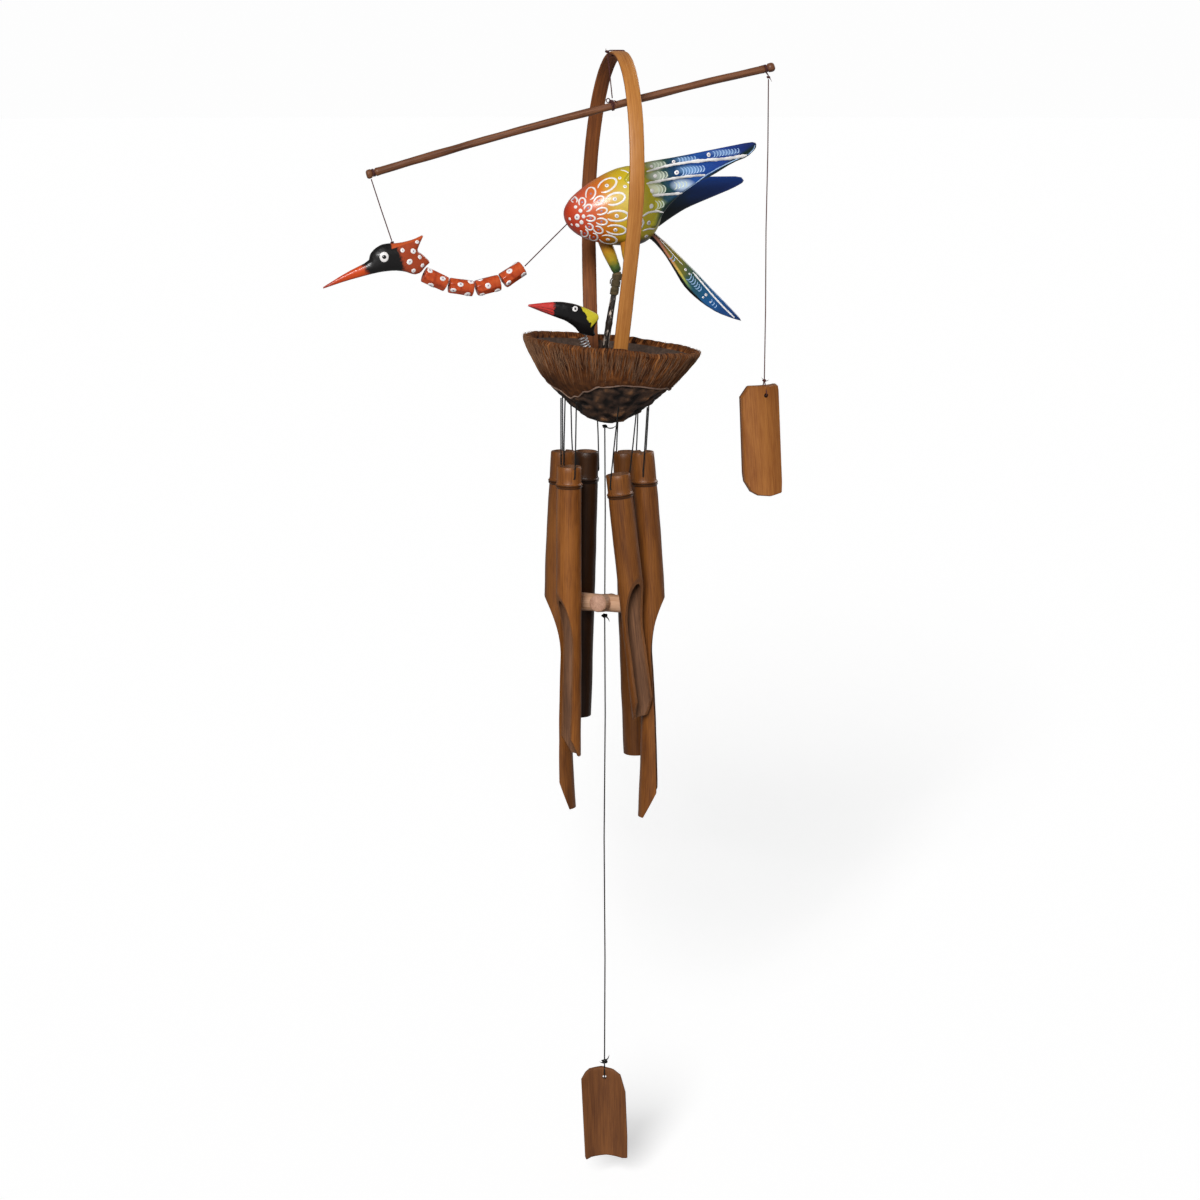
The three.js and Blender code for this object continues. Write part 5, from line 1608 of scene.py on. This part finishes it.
# ---------------------------------------------------------------- clapper
def make_clapper(material, end_material):
    """Two dowels crossed at their middles."""
    r, half = CLAPPER["r"], CLAPPER["half"]
    end = [(0, half + 0.4), (r - 1.2, half + 0.1), (r - 0.35, half - 0.35), (r, half - 1.2), (r, half - 4)]
    profile = [(reach, -x) for reach, x in end] + [(r * 0.985, 0)] + list(reversed(end))
    turn = about("Z", CLAPPER["turn"]) @ about("X", -CLAPPER["tip"])
    for i, spin in enumerate((0, 90), 1):
        points, faces = turned(refined(profile, 1.6), 40, 0.35, i)
        vertices = [Vector((z, y, -x)) for x, y, z in points]
        indices = [1 if all(abs(vertices[k].x) > half - 0.5 for k in face) else 0 for face in faces]
        place = placed(CENTRE_X, 0, CLAPPER["z"], turn @ about("Z", spin))
        materials = [material, end_material]
        bar = make(f"clapper_dowel_{i}", vertices, faces, materials, place, [tuple(v) for v in points],
                   indices, 50)
        fit(bar, "clapper", "clapper_wood", f"clapper_bar_{i}")


# ---------------------------------------------------------------- slats
COUNTER_SLAT = dict(radius=30, walls=(6.36, 12.26), width=34.6, middle=-4.1,
                    outline=[(-18.8, 0.3), (-12.8, 8.6), (12.2, 6.9), (12.7, 2.2), (9.6, -68.5),
                             (8.5, -77.2), (-1.8, -78.6), (-11.7, -76.9), (-16.7, -73.5), (-20.5, -65.4),
                             (-20.9, -59.1)])
SAIL_SLAT = dict(radius=31, walls=(3.4, 3.4), width=36, middle=1,
                 outline=[(18.6, 0.8), (15.4, 5.6), (12.2, 8), (2, 9), (-7.5, 6.5), (-13, 2.7),
                          (-16.6, -11), (-17.3, -50), (-16.9, -69), (-13, -70.5), (0, -69), (12, -69.6),
                          (16.2, -71), (17.2, -68)])


def make_slat(name, spec, centre, turn, materials):
    """A split of cane: curved across, with the skin on the outside of the curve and softened edges."""
    radius, middle, width = spec["radius"], spec["middle"], spec["width"]
    thin, thick = spec["walls"]
    half = math.asin(width / 2 / radius)

    def bulge(r, u):
        return radius - math.sqrt(max(0.01, r ** 2 - u ** 2))

    def face(x, z, d):
        u = max(-radius * 0.95, min(radius * 0.95, x - middle))
        wall = clamp(math.asin(u / radius), -half, half, thin, thick)
        inner_r = radius - wall
        inner_u = min(abs(u), inner_r * math.sqrt(0.9))
        ripple = 0.16 * noise.noise(Vector((x * 0.25, z * 0.02, radius)))
        return bulge(radius, u) + ripple, bulge(inner_r, inner_u) + ripple * 1.6

    vertices, faces = panel(spec["outline"], 1.5, face, 1.1)
    indices = []
    for corners in faces:
        spot = sum((vertices[k] for k in corners), Vector()) / 3
        y0, y1 = face(spot.x, spot.z, 9)
        indices.append(0 if spot.y < y0 + 0.35 * (y1 - y0) else 1)
    wall = clamp(-middle, -width / 2, width / 2, thin, thick)
    hole = Vector((0, bulge(radius, middle) + wall / 2, 0))
    lean = (centroid(vertices, faces) - hole).rotation_difference(Vector((0, 0, -1))).to_matrix().to_4x4()
    place = placed(*centre, about("Z", turn) @ lean) @ Matrix.Translation(-hole * MM)
    slat = make(f"{name}_cane", vertices, faces, materials, place, indices=indices, sharp=45)
    cut_out(slat, [drill(1.75, -30, 40, 24, materials[1], place)])
    fit(slat, name, "slat_bamboo", f"{name}_slat")


def centroid(vertices, faces):
    """The middle of a closed mesh's volume, below which it hangs."""
    total, moment = 0.0, Vector()
    for face in faces:
        for b, c in zip(face[1:], face[2:]):
            corners = [Vector(vertices[i]) for i in (face[0], b, c)]
            volume = corners[0].dot(corners[1].cross(corners[2])) / 6
            total += volume
            moment += sum(corners, Vector()) * volume / 4
    return moment / total


# ---------------------------------------------------------------- colours
def cloud(shader, place, scale, reach, detail=3):
    """A soft drift of a value, reach either way."""
    return shader.noise(place, scale, detail).span(0.3, 0.7, -reach, reach)


def body_tint(shader, place):
    """Red at the breast, through orange and yellow, to green at the wings' roots, with a painted highlight
    band.
    """
    along = shader.part(place, "X")
    height = shader.part(place, "Z")
    share = along.span(0, BODY["length"]) + cloud(shader, place, 0.09, 0.05)
    color = share.ramp([(0.0, (0.5, 0.035, 0.01)), (0.12, (0.66, 0.06, 0.01)), (0.27, (0.7, 0.11, 0.01)),
                        (0.38, (0.72, 0.22, 0.01)), (0.5, (0.7, 0.42, 0.016)), (0.62, (0.68, 0.5, 0.02)),
                        (0.76, (0.62, 0.5, 0.022)), (0.88, (0.52, 0.45, 0.024)),
                        (0.98, (0.16, 0.22, 0.03))])
    # Painted highlight: a band across the body's middle, pinkish at the breast and yellow-white further back,
    # standing in for the gloss of a light.
    glow = height.within((-12, 6), (22, 9))
    warm = glow * along.within((2, 10), (34, 22))
    color = shader.mix(warm * 0.14, color, (0.95, 0.5, 0.42))
    bright = glow * along.within((26, 36), (62, 48))
    color = shader.mix(bright * 0.35, color, (0.95, 0.82, 0.32))
    # Nearly black toward the underside.
    return shader.mix(height.span(-22, -27), color, (0.012, 0.009, 0.008))


def airbrushed(shader, place, color, patches):
    """Soft patches of paint sprayed on: middle, half size along X and Z, colour and strength of each."""
    for x, z, wide, high, tint, strength in patches:
        offset = shader.add("VectorMath", {0: place, 1: (x, 0, z)}, operation="SUBTRACT").outputs["Vector"]
        flat = shader.stretched(offset, (1 / wide, 0, 1 / high))
        reach = Value(shader, shader.add("VectorMath", {0: flat}, operation="LENGTH").outputs["Value"])
        color = shader.mix(reach.span(1, 0.35, 0, strength), color, tint)
    return color


def wing_tint(shader, place):
    """Yellow and dark green at the root, then blue, then navy at the tip, with pale sprayed patches."""
    along = shader.part(place, "X")
    height = shader.part(place, "Z")
    share = (along + cloud(shader, place, 0.1, 4)).span(15, 105)
    color = share.ramp([
        (0.01, (0.5, 0.43, 0.022)), (0.07, (0.14, 0.2, 0.045)), (0.16, (0.015, 0.06, 0.05)),
        (0.28, (0.008, 0.05, 0.15)), (0.42, (0.012, 0.08, 0.34)), (0.64, (0.01, 0.05, 0.28)),
        (0.84, (0.008, 0.025, 0.15)), (1.0, (0.006, 0.014, 0.07))])
    color = airbrushed(shader, place, color, [
        (24, -79.6, 9, 4.2, (0.62, 0.7, 0.56), 0.7), (25, -87.4, 9, 4.4, (0.66, 0.72, 0.6), 0.75),
        (22, -97.2, 10, 5.6, (0.86, 0.88, 0.62), 0.9), (44.5, -94.4, 10.5, 5.4, (0.62, 0.77, 0.96), 0.9),
        (27, -108.2, 7, 4.4, (0.42, 0.52, 0.26), 0.5), (50, -83, 12, 3.8, (0.26, 0.5, 0.82), 0.6),
        (47, -75.8, 11, 2.6, (0.26, 0.46, 0.76), 0.6), (76, -70.8, 13, 2.8, (0.26, 0.44, 0.78), 0.6)])
    slant = along + height * -0.2
    low = height.span(-102, -105) * slant.span(51, 45)
    color = shader.mix(low, color, (0.56, 0.48, 0.02))
    dark = (height - along * 0.64).span(-126.4, -129) * slant.span(48, 53)
    return shader.mix(dark, color, (0.006, 0.022, 0.018))


def far_wing_tint(shader, place):
    """Dark green, then blue, brighter on the upper feather and nearly black under the lower one."""
    along = shader.part(place, "X")
    height = shader.part(place, "Z")
    share = along.span(15, 105) + cloud(shader, place, 0.1, 0.05)
    color = share.ramp([(0.0, (0.1, 0.2, 0.05)), (0.3, (0.01, 0.045, 0.035)), (0.5, (0.01, 0.055, 0.24)),
                        (1.0, (0.01, 0.045, 0.28))])
    upper = (height + along * -0.04).span(-101, -98)
    color = shader.mix(upper * 0.6, color, (0.012, 0.06, 0.3))
    lower = (height + along * -0.12).span(-112, -119)
    return shader.mix(lower * 0.8, color, (0.005, 0.012, 0.014))


def tail_tint(shader, place):
    """Olive at the root, then blue, with a warm band down its leading edge and a black rim below."""
    x = shader.part(place, "X")
    z = shader.part(place, "Z")
    along = x - z
    share = along.span(150, 300) + cloud(shader, place, 0.12, 0.04)
    color = share.ramp([(0.0, (0.07, 0.03, 0.012)), (0.14, (0.16, 0.08, 0.015)),
                        (0.26, (0.24, 0.18, 0.015)), (0.38, (0.15, 0.16, 0.03)), (0.46, (0.04, 0.1, 0.08)),
                        (0.56, (0.016, 0.1, 0.17)), (0.7, (0.016, 0.11, 0.32)), (0.86, (0.012, 0.06, 0.22)),
                        (1.0, (0.006, 0.02, 0.09))])
    reach = x + z - along.span(167, 223, -108, -118.8)
    band = reach.within((4.8, 3.4), (0.9, 2.1)) * along.span(230, 214)
    warm = along.span(160, 226).ramp([(0.1, (0.5, 0.2, 0.14)), (0.45, (0.72, 0.28, 0.14)),
                                      (0.7, (0.78, 0.55, 0.1)), (0.95, (0.3, 0.5, 0.1))])
    color = shader.mix(band * 0.95, color, warm)
    return shader.mix(reach.span(1.9, 0.9), color, (0.008, 0.01, 0.01))


def head_tint(shader, place):
    """Black face between an orange-red beak and a rust-orange nape, with a painted highlight on the crest's
    facet.
    """
    x = shader.part(place, "X")
    z = shader.part(place, "Z")
    ragged = cloud(shader, place, 0.35, 1.6, 4)
    beak = x.span(-222, -186).ramp([(0, (0.34, 0.022, 0.004)), (0.3, (0.6, 0.055, 0.007)),
                                    (0.8, (0.7, 0.08, 0.01)), (1, (0.45, 0.045, 0.008))])
    nape = shader.mix(shader.noise(place, 0.2), (0.34, 0.045, 0.014), (0.48, 0.075, 0.02))
    color = shader.mix((x + z * 0.6 + ragged).span(-284, -280.5), beak, (0.006, 0.0055, 0.0055))
    color = shader.mix((x + z * 0.28 + ragged).span(-206, -203.5), color, nape)
    # Painted highlight: the crest's upper facet is painted lighter orange, standing in for light falling on
    # it.
    crest = (z - x * 0.31).span(-85.9, -85.4) * x.span(-171.4, -170.2)
    return shader.mix(crest, color, (0.62, 0.1, 0.022))


def bead_tint(shader, place):
    tone = shader.noise(place, 0.2, 4)
    return tone.ramp([(0.3, (0.34, 0.036, 0.008)), (0.5, (0.56, 0.075, 0.016)), (0.72, (0.68, 0.12, 0.03))])


def thigh_tint(shader, place):
    """Orange at the hip, through yellow, to dark green at the knee."""
    along = shader.part(place, "Z") + cloud(shader, place, 0.25, 1.5)
    return along.span(0, 29).ramp([(0.0, (0.45, 0.12, 0.012)), (0.35, (0.6, 0.28, 0.015)),
                                   (0.62, (0.5, 0.34, 0.02)), (0.82, (0.1, 0.16, 0.03)),
                                   (1.0, (0.015, 0.045, 0.02))])


def chick_tint(shader, place):
    """Red beak, black head and a yellow cheek patch."""
    x = shader.part(place, "X")
    z = shader.part(place, "Z")
    ragged = cloud(shader, place, 0.4, 1.2)
    red = shader.mix(shader.noise(place, 0.3), (0.52, 0.025, 0.022), (0.68, 0.05, 0.04))
    color = shader.mix((x + z * -0.06 + ragged).span(-44.3, -43.2), red, (0.006, 0.0055, 0.006))
    behind = (x + z * 0.55 + ragged).span(-134.6, -134)
    above = (z - x * 0.98).span(-171.4, -170.6)
    return shader.mix(behind * above, color, (0.7, 0.6, 0.035))


def husk_material():
    """Combed coir: pale along the strands' crests and nearly black in the gaps, as painted light and shade,
    and darker low down.
    """
    shader = Shader("husk", roughness=0.95, Specular_IOR_Level=0.15)
    place = shader.place()
    crest = shader.part(shader.grain(), "Y")
    height = shader.part(shader.grain(), "Z")
    hairs = shader.noise(shader.grain(1.6, 0.3, 0.09), 1.0, 6, 0.8)
    clouds = shader.noise(place, 0.07, 4, 0.7)
    # The strands' height sets the tone: painted light on their crests, painted shade in the gaps between
    # them.
    tone = crest * 0.62 + hairs * 0.42 + clouds.span(0.3, 0.7, -0.12, 0.1)
    color = tone.ramp([(0.24, (0.018, 0.006, 0.003)), (0.4, (0.105, 0.032, 0.008)),
                       (0.58, (0.215, 0.07, 0.017)), (0.82, (0.43, 0.165, 0.05))])
    # Darker toward the bottom of the husk.
    color = shader.mix(height.span(-19, -26) * 0.65, color, (0.078, 0.031, 0.013))
    return shader.paint(color).bump(hairs + shader.noise(place, 1.3, 4, 0.8), 0.9, 0.9).material


def fibre_material(name, dark, light):
    """Loose coir, each strand in its own tone."""
    shader = Shader(name, roughness=0.95)
    tone = shader.noise(shader.grain(1, 1, 0.05), 1.0, 3, 0.6)
    hairs = shader.noise(shader.place(), 1.5, 3, 0.8)
    return shader.paint(tone.ramp([(0.35, dark), (0.7, light)])).bump(hairs, 0.4, 0.8).material


def shell_material():
    """The bare hard shell at the bottom: black in its pits, lighter on its lumps."""
    shader = Shader("nut_shell", roughness=0.72, Specular_IOR_Level=0.25)
    place = shader.place()
    relief = shader.part(shader.grain(), "Y")
    lumps = shader.noise(place, 0.13, 6, 0.75)
    specks = shader.noise(place, 0.7, 4, 0.7)
    tone = relief * 0.55 + lumps * 0.5
    color = tone.ramp([(0.34, (0.008, 0.005, 0.004)), (0.5, (0.045, 0.024, 0.016)),
                       (0.7, (0.09, 0.046, 0.026)), (0.95, (0.26, 0.12, 0.05))])
    color = shader.mix(specks.span(0.64, 0.75, 0, 0.45), color, (0.22, 0.15, 0.11))
    return shader.paint(color).bump(lumps + specks, 1.4, 0.9).material


def lining_material():
    """The shell's dusty brown inside."""
    shader = Shader("nest_lining", roughness=0.8)
    grain = shader.noise(shader.place(), 0.25, 6, 0.7)
    color = grain.ramp([(0.3, (0.035, 0.022, 0.015)), (0.55, (0.085, 0.05, 0.033)),
                        (0.8, (0.17, 0.11, 0.08))])
    return shader.paint(color).bump(grain, 0.8, 0.7).material


def shin_stain():
    """Nearly black stain, chipped off to the pale wood in a few long patches."""
    shader = Shader("shin_stain", roughness=0.45, Specular_IOR_Level=0.3)
    fibres = shader.noise(shader.grain(2.4, 2.4, 0.05), 1.0, 4, 0.7)
    chips = shader.noise(shader.grain(0.42, 0.42, 0.11), 1.0, 4, 0.6)
    color = fibres.ramp([(0.35, (0.007, 0.005, 0.004)), (0.7, (0.035, 0.022, 0.015))])
    color = shader.mix(chips.span(0.56, 0.6, 0, 0.85), color, (0.72, 0.6, 0.5))
    return shader.paint(color).bump(fibres - chips, 0.3, 0.7).material


def steel():
    """Spring wire, bright where it isn't grimy."""
    shader = Shader("spring_steel", roughness=0.3, Metallic=0.45)
    grime = shader.noise(shader.place(), 0.5)
    return shader.paint(grime.ramp([(0.4, (0.1, 0.1, 0.105)), (0.55, (0.72, 0.72, 0.74))])).material


# ---------------------------------------------------------------- the whole chime
# The tubes' colours at full depth, and each tube's depth and how strongly its fibres show.
CANE_TONES = ((0.045, 0.012, 0.002), (0.23, 0.068, 0.009), (0.42, 0.145, 0.024))
# Each tube's depth is partly its own tone and partly painted shade: the tubes at the back (the second, third
# and fifth) are made darker, the third nearly black.
TUBE_TONE_AND_SHADE = [(0.74, 0.8), (0.52, 0.8), (0.11, 0.7), (0.58, 0.8), (0.36, 0.8), (0.58, 0.8)]


def make_bird(twine, white, violet, black):
    body = make_body(painted("body_paint_coat", body_tint, 0.24))
    make_body_pattern(body, white, violet)
    wings = make_wings(painted("near_wing_paint_coat", wing_tint, 0.24),
                       painted("far_wing_paint_coat", far_wing_tint, 0.3),
                       painted("tail_paint_coat", tail_tint, 0.24))
    sky = enamel("pale_blue_paint_and_edge_highlight", (0.36, 0.55, 0.84))
    haze = enamel("pale_green_paint", (0.66, 0.74, 0.6))
    make_wing_pattern(*wings, body, white, sky, haze, violet)
    head = make_head(painted("head_paint_coat", head_tint, 0.36))
    make_head_pattern(head, white, violet, black)
    make_neck(painted("bead_paint_coat", bead_tint), white, violet, twine)
    binding = cord_fibre("knee_binding_fibre", (0.02, 0.025, 0.014), (0.2, 0.13, 0.06))
    make_legs(painted("thigh_paint_coat", thigh_tint, 0.28), binding, shin_stain())


def make_chimes():
    cut_face = cut_cane("tube_cut_face", (0.09, 0.028, 0.007), (0.3, 0.115, 0.032))
    bore = cut_cane("tube_bore", (0.05, 0.02, 0.01), (0.24, 0.11, 0.05))
    for i, (spec, (depth, streak)) in enumerate(zip(CHIMES, TUBE_TONE_AND_SHADE), 1):
        # The cane's colours scaled by depth: partly each tube's own tone, partly painted shade on the tubes
        # at the back.
        tones = [tuple(depth * c for c in color) for color in CANE_TONES]
        bands = [(-spec["node"], 1.6), (-spec["node"] - 1.6, 0.9)]
        make_tube(i, spec, bamboo(f"tube_{i}_skin", *tones, 0.4, streak, bands), cut_face, bore)


def make_slats():
    inside = cut_cane("slat_cane_inside", (0.08, 0.025, 0.008), (0.22, 0.08, 0.021))
    worn = bamboo("counterweight_cane_skin", (0.07, 0.019, 0.004), (0.235, 0.072, 0.012),
                  (0.37, 0.14, 0.03), 0.4, 0.75)
    make_slat("counterweight", COUNTER_SLAT, (COUNTER["x"], BALANCE_Y, COUNTER["hole"]), 0, [worn, inside])
    fresh = bamboo("slat_cane_skin", (0.12, 0.036, 0.009), (0.32, 0.115, 0.026), (0.48, 0.21, 0.06), 0.4,
                   0.75)
    make_slat("sail", SAIL_SLAT, (CENTRE_X, 0, SAIL_HOLE_Z), 165, [fresh, inside])


def main():
    make_camera()
    make_light()
    twine = cord_fibre("purple_twine_fibre", (0.03, 0.008, 0.008), (0.16, 0.05, 0.046))
    black = cord_fibre("black_cord_fibre", (0.002, 0.002, 0.002), (0.016, 0.015, 0.014))
    make_cords(twine, black)
    make_floor()
    make_knots(twine, black)
    make_hoop(bamboo("hoop_cane_skin", (0.21, 0.062, 0.012), (0.41, 0.15, 0.029), (0.57, 0.245, 0.062), 0.36),
              cut_cane("hoop_cane_inside", (0.09, 0.026, 0.009), (0.35, 0.11, 0.026)))
    make_beam(bamboo("beam_cane", (0.016, 0.006, 0.004), (0.1, 0.034, 0.015), (0.24, 0.095, 0.04), 0.45,
                     0.95))
    make_nest(husk_material(), shell_material(), lining_material(),
              fibre_material("coir_fibre", (0.07, 0.026, 0.011), (0.38, 0.19, 0.09)),
              fibre_material("husk_edge_fibre", (0.1, 0.05, 0.033), (0.34, 0.22, 0.16)))
    white = enamel("white_paint", (0.93, 0.9, 0.88))
    violet = enamel("violet_paint", (0.33, 0.25, 0.38))
    jet = enamel("black_paint", (0.012, 0.012, 0.013))
    make_bird(twine, white, violet, jet)
    make_chick(painted("chick_paint_coat", chick_tint, 0.3), white, jet, steel())
    make_chimes()
    make_clapper(bamboo("clapper_side", (0.22, 0.09, 0.04), (0.42, 0.22, 0.115), (0.62, 0.38, 0.24), 0.6),
                 cut_cane("clapper_end", (0.25, 0.11, 0.06), (0.62, 0.38, 0.27)))
    make_slats()


main()
